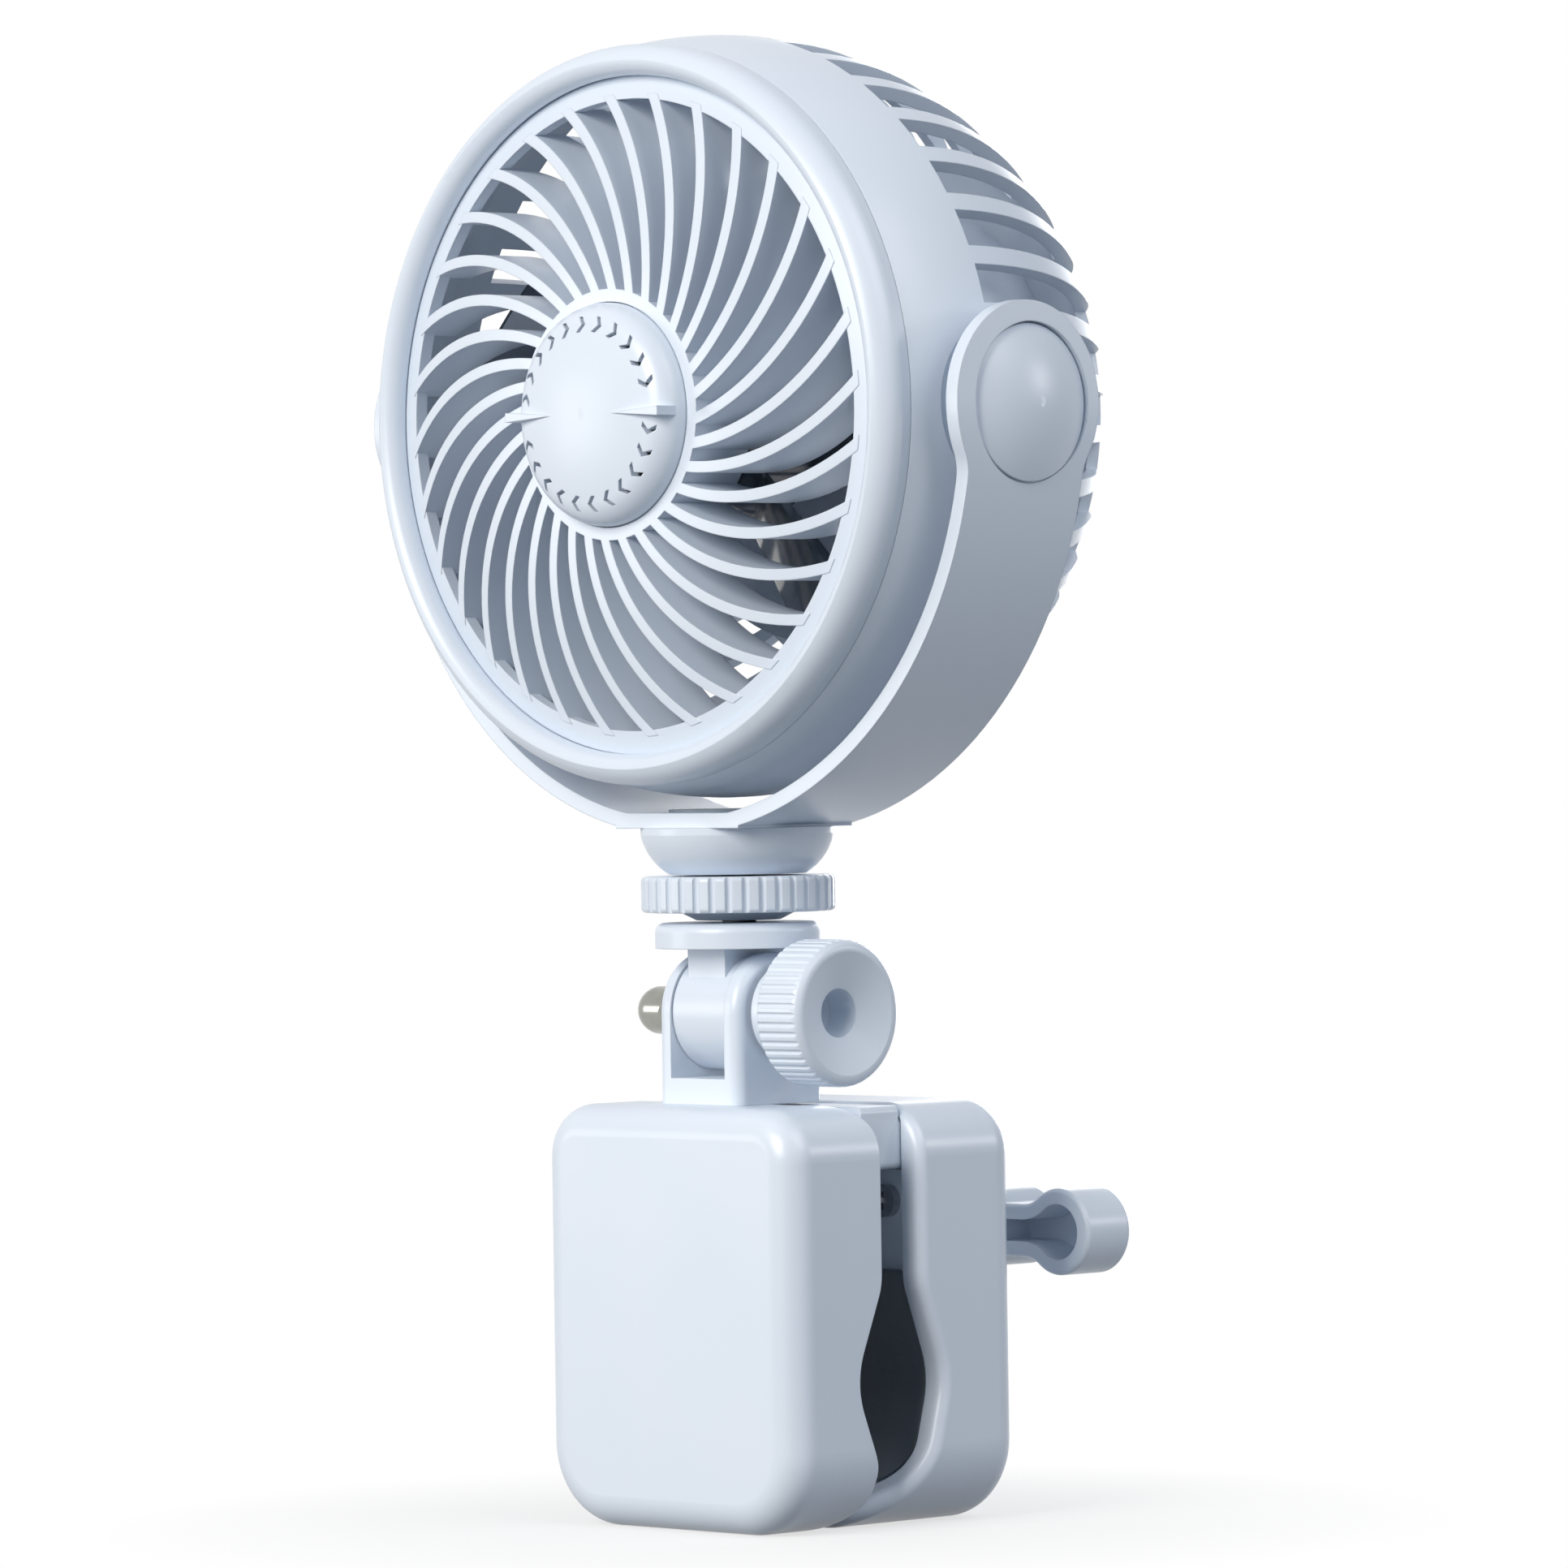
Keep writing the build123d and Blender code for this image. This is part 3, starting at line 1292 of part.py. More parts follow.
# Hub cap: domed shell with a skirt, perforations and two fins
cap_skirt_radius = hub_ring_inner_radius - fit_gap
cap_foot = -hub_ring_rise - hub_cap_step
skirt_rear = -hub_ring_rise + cap_skirt
with BuildPart() as hub_cap:
    with BuildSketch(fan_section):
        with BuildLine():
            inside = hub_cap_wall
            cap_line(
                hub_cap_shoulder_radius,
                -hub_cap_shoulder_rise,
                -hub_cap_rise,
                (cap_skirt_radius, cap_foot),
            )
            cap_line(
                hub_cap_shoulder_radius - inside / 2,
                -hub_cap_shoulder_rise + inside,
                -hub_cap_rise + inside,
                (cap_skirt_radius - inside, cap_foot),
            )
            Line((0, -hub_cap_rise), (0, -hub_cap_rise + inside))
            Polyline(
                (cap_skirt_radius - inside, cap_foot),
                (cap_skirt_radius - inside, skirt_rear),
                (cap_skirt_radius, skirt_rear),
                (cap_skirt_radius, cap_foot),
            )
        make_face()
    revolve(axis=fan_axis)
    with BuildSketch(fan_face.offset(fin_root)):
        for side in (-1, 1):
            with BuildLine():
                Polyline(
                    (side * fin_start, 0),
                    (side * fin_end, fin_width / 2),
                    (side * fin_end, -fin_width / 2),
                    close=True,
                )
            make_face()
    extrude(amount=fin_crest - fin_root)
    with BuildSketch(fan_face.offset(hub_cap_rise)):
        for turn in chevron_turns:
            add(chevron.sketch.rotate(Axis.Z, turn))
    extrude(amount=-hub_cap_rise + hub_ring_rise, mode=Mode.SUBTRACT)
hub_cap.part.label = "hub_cap"
export_step(hub_cap.part, "parts/hub_cap.step")


def slot_cutter(front_depth):
    """Wedge that cuts one air slot, centred on +X of the fan's own frame, from a depth to the rear."""
    outer = housing_radius + housing_wall
    rear = housing_depth + housing_wall
    profile = [(slot_inner_radius, -front_depth), (outer, -front_depth)]
    profile += [(outer, -rear), (slot_inner_radius, -rear)]
    with BuildPart() as cutter:
        start = Plane.XZ.rotated((0, 0, -slot_angle / 2))
        revolve(polygon_face(start, profile), axis=Axis.Z, revolution_arc=slot_angle)
    return cutter.part


# Rear housing: side wall, shoulder, pod for the battery and pivot bosses
slot_pitch = 360 / slot_count
long_slots = []
short_slots = []
for index in range(slot_count):
    from_pivot = abs((index + slot_count // 4) % (slot_count // 2) - slot_count // 4)
    if from_pivot <= slots_behind_pivot:
        short_slots.append(index * slot_pitch)
    else:
        long_slots.append(index * slot_pitch)
shell_centre = (housing_radius - shell_round, housing_bulge_depth)
shoulder_reach = shell_round - shoulder_round
shoulder_turn = degrees(asin((housing_depth - shoulder_round - housing_bulge_depth) / shoulder_reach))
shoulder_centre = arc_middle(shell_centre, shoulder_reach, shoulder_turn)
shoulder_middle = (90 + shoulder_turn) / 2
standoff_places = [(side * standoff_x, standoff_z) for side in (-1, 1)]
cover_screw_places = [arc_middle((0, 0), cover_screw_radius_out, turn) for turn in cover_screw_angles]
slot_cutters = {depth: slot_cutter(depth) for depth in (slot_start, slot_behind_pivot)}
motor_lead_places = [(side * motor_lead_x, motor_lead_z) for side in (-1, 1)]
motor_screw_xs = [side * motor_screw_x for side in (-1, 1)]
housing_front_depth = seam_depth + seam_gap
with BuildPart(fan_face) as rear_housing:
    with BuildSketch(fan_section):
        with BuildLine():
            for skin in (0, housing_wall):
                widest = (housing_radius - skin, housing_bulge_depth)
                bend = arc_middle(shell_centre, shell_round - skin, shoulder_turn)
                TangentArc(widest, (housing_front_radius - skin, housing_front_depth), tangent=(0, -1))
                ThreePointArc(
                    widest,
                    arc_middle(shell_centre, shell_round - skin, shoulder_turn / 2),
                    bend,
                )
                ThreePointArc(
                    bend,
                    arc_middle(shoulder_centre, shoulder_round - skin, shoulder_middle),
                    (shoulder_centre[0], housing_depth - skin),
                )
            Polyline(
                (shoulder_centre[0], housing_depth),
                (pod_inner_radius, housing_depth),
                (pod_inner_radius, pod_floor),
                (0, pod_floor),
                (0, pod_front),
                (pod_radius, pod_front),
                (pod_radius, housing_depth - housing_wall),
                (shoulder_centre[0], housing_depth - housing_wall),
            )
            Line(
                (housing_front_radius - housing_wall, housing_front_depth),
                (housing_front_radius, housing_front_depth),
            )
        make_face()
    revolve(axis=fan_axis)
    for turns, front_depth in ((long_slots, slot_start), (short_slots, slot_behind_pivot)):
        with Locations(*[Rotation(0, 0, turn) for turn in turns]):
            add(slot_cutters[front_depth], mode=Mode.SUBTRACT)
    for side in (-1, 1):
        with BuildSketch(facing_right(side * pivot_land_x, stand_y, pivot_z)):
            Circle(pivot_land_radius)
        extrude(amount=side * housing_wall, mode=Mode.SUBTRACT)
        with BuildSketch(facing_right(side * pivot_boss_root, stand_y, pivot_z)):
            Circle(pivot_boss_radius)
        extrude(amount=side * (pivot_boss_x - pivot_boss_root))
        with BuildSketch(facing_right(side * pivot_boss_x, stand_y, pivot_z)):
            Circle(pin_radius + running_gap)
        extrude(amount=side * (pivot_boss_root - pivot_boss_x), mode=Mode.SUBTRACT)
    with BuildSketch(fan_face.offset(-pod_floor)):
        with Locations(*standoff_places):
            Circle(standoff_radius)
    extrude(amount=pod_floor - board_depth)
    with BuildSketch(fan_face.offset(-pod_floor)):
        with Locations(*cover_screw_places):
            Circle(cover_boss_radius)
    extrude(amount=pod_floor - cover_inside)
    with BuildSketch(fan_face.offset(-cover_inside)):
        with Locations(*cover_screw_places):
            Circle(cover_screw_radius + running_gap)
    extrude(amount=cover_screw_length, mode=Mode.SUBTRACT)
    with BuildSketch(fan_face.offset(-pod_floor)):
        with Locations(*motor_lead_places):
            Circle(lead_radius + lead_hole_play)
    extrude(amount=pod_wall, mode=Mode.SUBTRACT)
    with Locations(*[Location((x, 0, -pod_floor), (180, 0, 0)) for x in motor_screw_xs]):
        CounterSinkHole(
            motor_screw_radius + running_gap,
            motor_screw_head + running_gap,
            depth=pod_wall,
            counter_sink_angle=sink_angle(
                motor_screw_head, motor_screw_radius, motor_screw_head_height
            ),
        )
rear_housing.part.label = "rear_housing"
export_step(rear_housing.part, "parts/rear_housing.step")

# Motor: closed can with a nose round the shaft
with BuildPart() as motor_can:
    with BuildSketch(fan_face.offset(-pod_front)):
        Circle(motor_radius)
    extrude(amount=pod_front - motor_front)
    fillet(motor_can.edges().sort_by(Axis.Y)[0], radius=motor_round)
    with BuildSketch(fan_face.offset(-motor_front)):
        Circle(motor_nose_radius)
    extrude(amount=motor_nose)
    with BuildSketch(fan_face.offset(-shaft_rear)):
        Circle(shaft_radius + running_gap)
    extrude(amount=shaft_rear, mode=Mode.SUBTRACT)
    with BuildSketch(fan_face.offset(-pod_front)):
        with Locations(*[(x, 0) for x in motor_screw_xs]):
            Circle(motor_screw_radius + running_gap)
    extrude(amount=motor_screw_length - pod_wall, mode=Mode.SUBTRACT)
motor_can.part.label = "motor_can"
export_step(motor_can.part, "parts/motor_can.step")

# Screws that hold the motor on the pod
motor_screw = sunk_screw(
    motor_screw_radius, motor_screw_length, motor_screw_head, motor_screw_head_height
)
with BuildPart() as motor_screws:
    with Locations(*[facing_back(*behind_opening(x, pod_floor, 0)) for x in motor_screw_xs]):
        add(motor_screw)
motor_screws.part.label = "motor_screws"
export_step(motor_screws.part, "parts/motor_screws.step")

# Motor shaft
with BuildPart() as motor_shaft:
    with BuildSketch(fan_face.offset(-shaft_rear + seat_gap)):
        Circle(shaft_radius)
    extrude(amount=shaft_rear - seat_gap - shaft_front)
motor_shaft.part.label = "motor_shaft"
export_step(motor_shaft.part, "parts/motor_shaft.step")


def blade_plane(radius):
    """Plane across a blade at a radius, in the fan's own frame."""
    return Plane((radius, 0, -blade_mid_depth), x_dir=(0, 1, 0), z_dir=(1, 0, 0))


# One impeller blade, twisted from root to tip
blade_root_radius = impeller_hub_radius - 2 * impeller_hub_wall
with BuildPart() as blade:
    with BuildSketch(blade_plane(blade_root_radius)):
        Rectangle(blade_root_chord, blade_root_thickness, rotation=blade_root_pitch)
    with BuildSketch(blade_plane(impeller_radius)):
        Rectangle(blade_tip_chord, blade_tip_thickness, rotation=blade_tip_pitch)
    loft()

# Impeller: cup-shaped hub with blades
with BuildPart(fan_face) as impeller:
    with PolarLocations(0, blade_count):
        add(blade.part)
    hub_side = [
        (0, impeller_hub_front),
        (impeller_hub_radius, impeller_hub_front),
        (impeller_hub_radius, impeller_hub_rear),
        (0, impeller_hub_rear),
    ]
    revolve(polygon_face(fan_section, hub_side), axis=fan_axis)
    hub_inside = [
        (impeller_boss_radius, impeller_hub_front + impeller_hub_wall),
        (impeller_hub_radius - impeller_hub_wall, impeller_hub_front + impeller_hub_wall),
        (impeller_hub_radius - impeller_hub_wall, impeller_hub_rear + blade_root_chord),
        (0, impeller_hub_rear + blade_root_chord),
        (0, impeller_boss_rear),
        (impeller_boss_radius, impeller_boss_rear),
    ]
    revolve(polygon_face(fan_section, hub_inside), axis=fan_axis, mode=Mode.SUBTRACT)
    with BuildSketch(fan_face.offset(-pod_front)):
        Circle(impeller_radius)
    extrude(amount=pod_front, mode=Mode.INTERSECT)
    with BuildSketch(fan_face.offset(-impeller_boss_rear)):
        Circle(shaft_radius + seat_gap)
    extrude(amount=impeller_boss_rear - shaft_front, mode=Mode.SUBTRACT)
impeller.part.label = "impeller"
export_step(impeller.part, "parts/impeller.step")

# Battery cell, across the pod
with BuildPart() as battery_cell:
    cell_start = behind_opening(-cell_length / 2, cell_depth, -cell_drop)
    with BuildSketch(facing_right(*cell_start)):
        Circle(cell_radius)
    extrude(amount=cell_length - cell_nub)
    with BuildSketch(facing_right(*cell_start)):
        Circle(cell_nub_radius)
    extrude(amount=cell_length)
battery_cell.part.label = "battery_cell"
export_step(battery_cell.part, "parts/battery_cell.step")

# Control board, on two standoffs
board_middle = (board_bottom + board_top) / 2
with BuildPart() as control_board:
    with BuildSketch(fan_face.offset(-board_back)):
        with Locations((0, board_middle)):
            Rectangle(board_width, board_top - board_bottom)
    extrude(amount=board_thickness)
control_board.part.label = "control_board"
export_step(control_board.part, "parts/control_board.step")

# Leads from the motor to the board
with BuildPart() as motor_leads:
    with BuildSketch(fan_face.offset(-pod_front)):
        with Locations(*motor_lead_places):
            Circle(lead_radius)
    extrude(amount=pod_front - board_depth)
motor_leads.part.label = "motor_leads"
export_step(motor_leads.part, "parts/motor_leads.step")

# Leads from the cell to the board's lower edge
lead_depth = board_depth + board_thickness / 2
with BuildPart() as battery_leads:
    for side in (-1, 1):
        lead_foot = behind_opening(side * battery_lead_x, lead_depth, battery_lead_start - cell_drop)
        with BuildSketch(Plane(lead_foot)):
            Circle(lead_radius)
        extrude(amount=board_bottom + cell_drop - battery_lead_start)
battery_leads.part.label = "battery_leads"
export_step(battery_leads.part, "parts/battery_leads.step")

# Push switch on the board
with BuildPart() as tact_switch:
    with BuildSketch(facing_back(*behind_opening(switch_x, board_back, control_z))):
        Rectangle(switch_size, switch_size)
    extrude(amount=switch_body)
    with BuildSketch(facing_back(*behind_opening(switch_x, board_back, control_z))):
        Circle(button_stem_radius)
    extrude(amount=switch_height)
tact_switch.part.label = "tact_switch"
export_step(tact_switch.part, "parts/tact_switch.step")

# Charging socket on the board: a rounded metal sleeve with a tongue
port_plane = facing_back(*behind_opening(port_x, board_back, control_z))
with BuildPart() as usb_port:
    with BuildSketch(port_plane):
        SlotOverall(port_width, port_height)
    extrude(amount=port_depth)
    with BuildSketch(port_plane.offset(port_depth)):
        SlotOverall(port_width - 2 * port_wall, port_height - 2 * port_wall)
    extrude(amount=-port_mouth_depth, mode=Mode.SUBTRACT)
    with BuildSketch(port_plane.offset(port_depth - port_mouth_depth)):
        Rectangle(port_tongue_width, port_tongue_thickness)
    extrude(amount=port_mouth_depth - port_tongue_setback)
usb_port.part.label = "usb_port"
export_step(usb_port.part, "parts/usb_port.step")

# Rear cover of the pod, with openings for the button and the socket
spigot_outer = pod_inner_radius - fit_gap
cover_half_rise = dome_rise(cover_rim_radius, cover_rise - cover_rim_rise, cover_rim_radius / 2)
with BuildPart() as rear_cover:
    with BuildSketch(fan_section):
        with BuildLine():
            ThreePointArc(
                (0, cover_back),
                (cover_rim_radius / 2, housing_depth + cover_rim_rise + cover_half_rise),
                (cover_rim_radius, housing_depth + cover_rim_rise),
            )
            Polyline(
                (cover_rim_radius, housing_depth + cover_rim_rise),
                (cover_radius, housing_depth + cover_edge_rise),
                (cover_radius, housing_depth),
                (spigot_outer, housing_depth),
                (spigot_outer, housing_depth - cover_spigot),
                (spigot_outer - cover_spigot_wall, housing_depth - cover_spigot),
                (spigot_outer - cover_spigot_wall, cover_inside),
                (0, cover_inside),
                (0, cover_back),
            )
        make_face()
    revolve(axis=fan_axis)
    with BuildSketch(facing_back(*behind_opening(switch_x, cover_inside, control_z))):
        Circle(button_radius + slide_gap)
    extrude(amount=cover_rise, mode=Mode.SUBTRACT)
    with BuildSketch(facing_back(*behind_opening(port_x, cover_inside, control_z))):
        SlotOverall(port_width + 2 * slide_gap, port_height + 2 * slide_gap)
    extrude(amount=cover_rise, mode=Mode.SUBTRACT)
    for x, z in cover_screw_places:
        with BuildSketch(facing_back(*behind_opening(x, cover_inside, z))):
            Circle(cover_screw_radius + running_gap)
        extrude(amount=cover_rise, mode=Mode.SUBTRACT)
        with BuildSketch(facing_back(*behind_opening(x, cover_inside + cover_screw_seat, z))):
            Circle(cover_screw_head + fit_gap)
        extrude(amount=cover_rise, mode=Mode.SUBTRACT)
rear_cover.part.label = "rear_cover"
export_step(rear_cover.part, "parts/rear_cover.step")

# Screws of the rear cover
cover_screw = pan_screw(
    cover_screw_radius, cover_screw_length, cover_screw_head, cover_screw_head_height
)
cover_screw_depth = cover_inside + cover_screw_seat
with BuildPart() as cover_screws:
    with Locations(*[facing_back(*behind_opening(x, cover_screw_depth, z)) for x, z in cover_screw_places]):
        add(cover_screw)
cover_screws.part.label = "cover_screws"
export_step(cover_screws.part, "parts/cover_screws.step")

# Speed button: rests against the cover's inner face, and its stem reaches the switch
stem_end = board_back + switch_height + button_travel + 2 * seat_gap
flange_back = cover_inside - seat_gap
button_profile = [
    (0, stem_end),
    (button_stem_radius, stem_end),
    (button_stem_radius, flange_back - button_flange_thickness),
    (button_flange_radius, flange_back - button_flange_thickness),
    (button_flange_radius, flange_back),
    (button_radius, flange_back),
    (button_radius, cover_back + button_proud),
    (0, cover_back + button_proud),
]
button_section = Plane(
    behind_opening(switch_x, 0, control_z), x_dir=(0, 0, 1), z_dir=(-1, 0, 0)
)
with BuildPart() as speed_button:
    revolve(
        polygon_face(button_section, button_profile),
        axis=Axis(behind_opening(switch_x, 0, control_z), (0, 1, 0)),
    )
    fillet(speed_button.edges().sort_by(Axis.Y)[-1], radius=button_round)
speed_button.part.label = "speed_button"
export_step(speed_button.part, "parts/speed_button.step")
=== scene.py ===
import math

import bmesh
import bpy
from mathutils import Matrix, Vector


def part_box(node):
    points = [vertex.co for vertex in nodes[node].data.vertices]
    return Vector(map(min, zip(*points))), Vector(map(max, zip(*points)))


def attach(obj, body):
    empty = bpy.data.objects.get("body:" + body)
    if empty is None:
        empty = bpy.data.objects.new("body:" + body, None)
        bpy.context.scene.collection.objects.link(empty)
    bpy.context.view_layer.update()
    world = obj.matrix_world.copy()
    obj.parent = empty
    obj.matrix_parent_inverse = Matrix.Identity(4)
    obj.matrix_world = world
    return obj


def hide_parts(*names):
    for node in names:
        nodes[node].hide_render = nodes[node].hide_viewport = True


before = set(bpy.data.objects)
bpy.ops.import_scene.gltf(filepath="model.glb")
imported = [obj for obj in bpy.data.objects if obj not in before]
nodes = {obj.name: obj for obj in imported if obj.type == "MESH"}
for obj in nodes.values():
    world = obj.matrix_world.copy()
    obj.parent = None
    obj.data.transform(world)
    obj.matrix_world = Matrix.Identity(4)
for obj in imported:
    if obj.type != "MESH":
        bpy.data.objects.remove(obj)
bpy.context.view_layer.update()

MM = 0.001

# Places of the object, in millimetres: bar axis at the origin, fan facing -Y
OPENING_CENTRE = Vector((0.0, -30.8, 162.0))
FLOOR_Z = -25.8
SCREW_Z = 21.6
STAND_Y = -7.0


def linear(hex_colour):
    """sRGB hex to a linear colour with full alpha."""
    channels = [int(hex_colour[i:i + 2], 16) / 255 for i in (0, 2, 4)]
    curve = [c / 12.92 if c <= 0.04045 else ((c + 0.055) / 1.055) ** 2.4 for c in channels]
    return (*curve, 1.0)


def add_node(tree, kind, settings=(), links=()):
    """Adds a node, sets its properties or sockets and links its inputs, by name or number."""
    node = tree.nodes.new("ShaderNode" + kind)
    for key, value in dict(settings).items():
        if isinstance(key, str) and hasattr(node, key):
            setattr(node, key, value)
        else:
            node.inputs[key].default_value = value
    for key, source in dict(links).items():
        tree.links.new(source, node.inputs[key])
    return node


def new_material(name):
    """Empty material and its node tree."""
    made = bpy.data.materials.new(name)
    made.use_nodes = True
    made.node_tree.nodes.clear()
    return made, made.node_tree


def dress(made, *names):
    """Gives a material to CAD nodes."""
    for name in names:
        mesh = nodes[name].data
        mesh.materials.clear()
        mesh.materials.append(made)


def per_metre(size_mm):
    """Texture scale for a pattern of that size in millimetres."""
    return 1.0 / (size_mm * MM)


def coat(tree, tones, tone_share, roughness, roughness_share, settings, normal=None):
    """Surface between two tones and between two levels of roughness, each by its own share."""
    colour = add_node(
        tree,
        "Mix",
        {"data_type": "RGBA", 6: linear(tones[0]), 7: linear(tones[1])},
        {0: tone_share},
    )
    gloss = add_node(
        tree,
        "MapRange",
        {"To Min": roughness[0], "To Max": roughness[1]},
        {"Value": roughness_share},
    )
    links = {"Base Color": colour.outputs[2], "Roughness": gloss.outputs["Result"]}
    if normal is not None:
        links["Normal"] = normal
    shader = add_node(tree, "BsdfPrincipled", settings, links)
    add_node(tree, "OutputMaterial", links={"Surface": shader.outputs["BSDF"]})


# Moulded ABS, pale ice blue: an even satin gloss, a faint drift of tone where the melt flowed,
# a spark-eroded grain so fine that it only breaks up the highlights, and softened edges.
# The grain is drawn at 0.5 mm, coarser than the real one, so that it shows.
def moulded_abs(name, tones):
    made, tree = new_material(name)
    place = add_node(tree, "TexCoord").outputs["Object"]
    flow = add_node(tree, "TexNoise", {"Scale": per_metre(22), "Detail": 2.0}, {"Vector": place})
    grain = add_node(tree, "TexNoise", {"Scale": per_metre(0.5), "Detail": 2.0}, {"Vector": place})
    edge = add_node(tree, "Bevel", {"samples": 4, "Radius": 0.3 * MM})
    bump = add_node(
        tree,
        "Bump",
        {"Strength": 0.12, "Distance": 0.02 * MM},
        {"Height": grain.outputs["Fac"], "Normal": edge.outputs["Normal"]},
    )
    drift = flow.outputs["Fac"]
    coat(tree, tones, drift, (0.26, 0.35), drift, {"IOR": 1.53}, bump.outputs["Normal"])
    return made


dress(
    moulded_abs("moulded_abs_ice_blue", ("E2EAF5", "DCE6F2")),
    "front_jaw_shell", "front_jaw_plate", "guide_arm",
    "rear_jaw_shell", "rear_jaw_plate", "wing_handle",
    "clevis", "tilt_plate", "tilt_knob", "lock_ring",
    "neck_cup", "yoke", "pivot_cap_left", "pivot_cap_right",
    "front_bezel", "front_grille", "hub_cap",
    "rear_housing", "rear_cover", "speed_button",
)


# Plain skins: one colour that clouds a little, with a fine pimpled grain
def plain_skin(name, tones, cloud_mm, grain_mm, grain_height, roughness, ior):
    made, tree = new_material(name)
    place = add_node(tree, "TexCoord").outputs["Object"]
    cloud = add_node(
        tree, "TexNoise", {"Scale": per_metre(cloud_mm), "Detail": 4.0}, {"Vector": place}
    )
    grain = add_node(tree, "TexVoronoi", {"Scale": per_metre(grain_mm)}, {"Vector": place})
    bump = add_node(
        tree,
        "Bump",
        {"Strength": 0.3, "Distance": grain_height * MM},
        {"Height": grain.outputs["Distance"]},
    )
    share = cloud.outputs["Fac"]
    spread = (roughness - 0.06, roughness + 0.06)
    coat(tree, tones, share, spread, share, {"IOR": ior}, bump.outputs["Normal"])
    return made


# Polyester sheet over the screws in the yoke: blue-grey and matt, with a fine haze
pet_sheet = plain_skin(
    "matt_pet_sheet", ("9AA6B4", "8F9CAB"),
    cloud_mm=6, grain_mm=0.4, grain_height=0.01, roughness=0.45, ior=1.57,
)
dress(pet_sheet, "yoke_cover")
# Moulded rubber: charcoal grey, matt, with a soft bloom
pad_rubber = plain_skin(
    "moulded_rubber_charcoal", ("6C747E", "60686F"),
    cloud_mm=9, grain_mm=0.6, grain_height=0.05, roughness=0.58, ior=1.52,
)
dress(pad_rubber, "front_jaw_pad", "rear_jaw_pad")
# Natural nylon: milky and waxy
nylon = plain_skin(
    "natural_nylon", ("ECEBE4", "E2E0D6"),
    cloud_mm=4, grain_mm=0.4, grain_height=0.01, roughness=0.42, ior=1.53,
)
dress(nylon, "friction_washers")
# Solder mask: a green lacquer, darker and lighter over the copper
solder_mask = plain_skin(
    "green_solder_mask", ("15633A", "0F4A2B"),
    cloud_mm=1.2, grain_mm=0.6, grain_height=0.02, roughness=0.35, ior=1.55,
)
dress(solder_mask, "control_board")
# Shrink wrap: a thin blue skin, drawn tight and glossy
shrink_wrap = plain_skin(
    "blue_shrink_wrap", ("3B74AE", "2F639A"),
    cloud_mm=14, grain_mm=0.7, grain_height=0.01, roughness=0.25, ior=1.54,
)
dress(shrink_wrap, "battery_cell")
# Moulded switch case: black and satin
switch_case = plain_skin(
    "black_switch_case", ("1B1C1F", "131417"),
    cloud_mm=2, grain_mm=0.3, grain_height=0.01, roughness=0.5, ior=1.5,
)
dress(switch_case, "tact_switch")
# Silicone wire sleeve: red and soft
wire_sleeve = plain_skin(
    "red_wire_sleeve", ("A3241F", "8C1C18"),
    cloud_mm=2, grain_mm=0.3, grain_height=0.01, roughness=0.45, ior=1.45,
)
dress(wire_sleeve, "motor_leads", "battery_leads")


# Turned or drawn metal: fine rings of the tool or the die run round the piece, across its axis,
# and streak the highlights.
def worked_metal(name, tones, ring_mm, axis, roughness):
    made, tree = new_material(name)
    place = add_node(tree, "TexCoord").outputs["Object"]
    stretch = [0.02, 0.02, 0.02]
    stretch[axis] = 1.0
    along = add_node(tree, "Mapping", {"Scale": stretch}, {"Vector": place})
    ring = add_node(
        tree,
        "TexNoise",
        {"Scale": per_metre(ring_mm), "Detail": 3.0},
        {"Vector": along.outputs["Vector"]},
    )
    stain = add_node(tree, "TexNoise", {"Scale": per_metre(3), "Detail": 4.0}, {"Vector": place})
    streak = ring.outputs["Fac"]
    bump = add_node(tree, "Bump", {"Strength": 0.15, "Distance": 0.01 * MM}, {"Height": streak})
    spread = (roughness - 0.05, roughness + 0.08)
    normal = bump.outputs["Normal"]
    coat(tree, tones, stain.outputs["Fac"], spread, streak, {"Metallic": 1.0}, normal)
    return made


# Nickel plate: a bright, almost neutral grey
nickel = worked_metal(
    "nickel_plated_steel", ("ADADA7", "8F908A"), ring_mm=0.3, axis=0, roughness=0.20
)
dress(nickel, "dome_nut")
# Zinc-plated steel: paler and duller, in one material for each axis that pieces were turned about
zinc_cross, zinc_deep, zinc_tall = [
    worked_metal(
        "zinc_plated_steel_" + letter, ("B9BCC0", "A4A8AD"), ring_mm=0.3, axis=axis, roughness=0.30
    )
    for axis, letter in enumerate("xyz")
]
dress(zinc_cross, "tilt_bolt", "knob_washer", "pivot_pins")
dress(
    zinc_deep,
    "front_plate_screws", "rear_plate_screws", "clamp_screw", "thrust_ring", "handle_screw",
    "motor_screws", "cover_screws", "motor_shaft", "usb_port",
)
dress(zinc_tall, "clevis_screws", "mount_stud", "neck_screws")
# Turned brass: yellow and bright
brass = worked_metal(
    "turned_brass", ("CFA95E", "BC9448"), ring_mm=0.3, axis=1, roughness=0.24
)
dress(brass, "clamp_nut", "neck_insert")
# Drawn steel can: grey and duller, with the die's rings round it
drawn_steel = worked_metal(
    "drawn_steel_can", ("A8ABAF", "94979C"), ring_mm=0.4, axis=1, roughness=0.33
)
dress(drawn_steel, "motor_can")


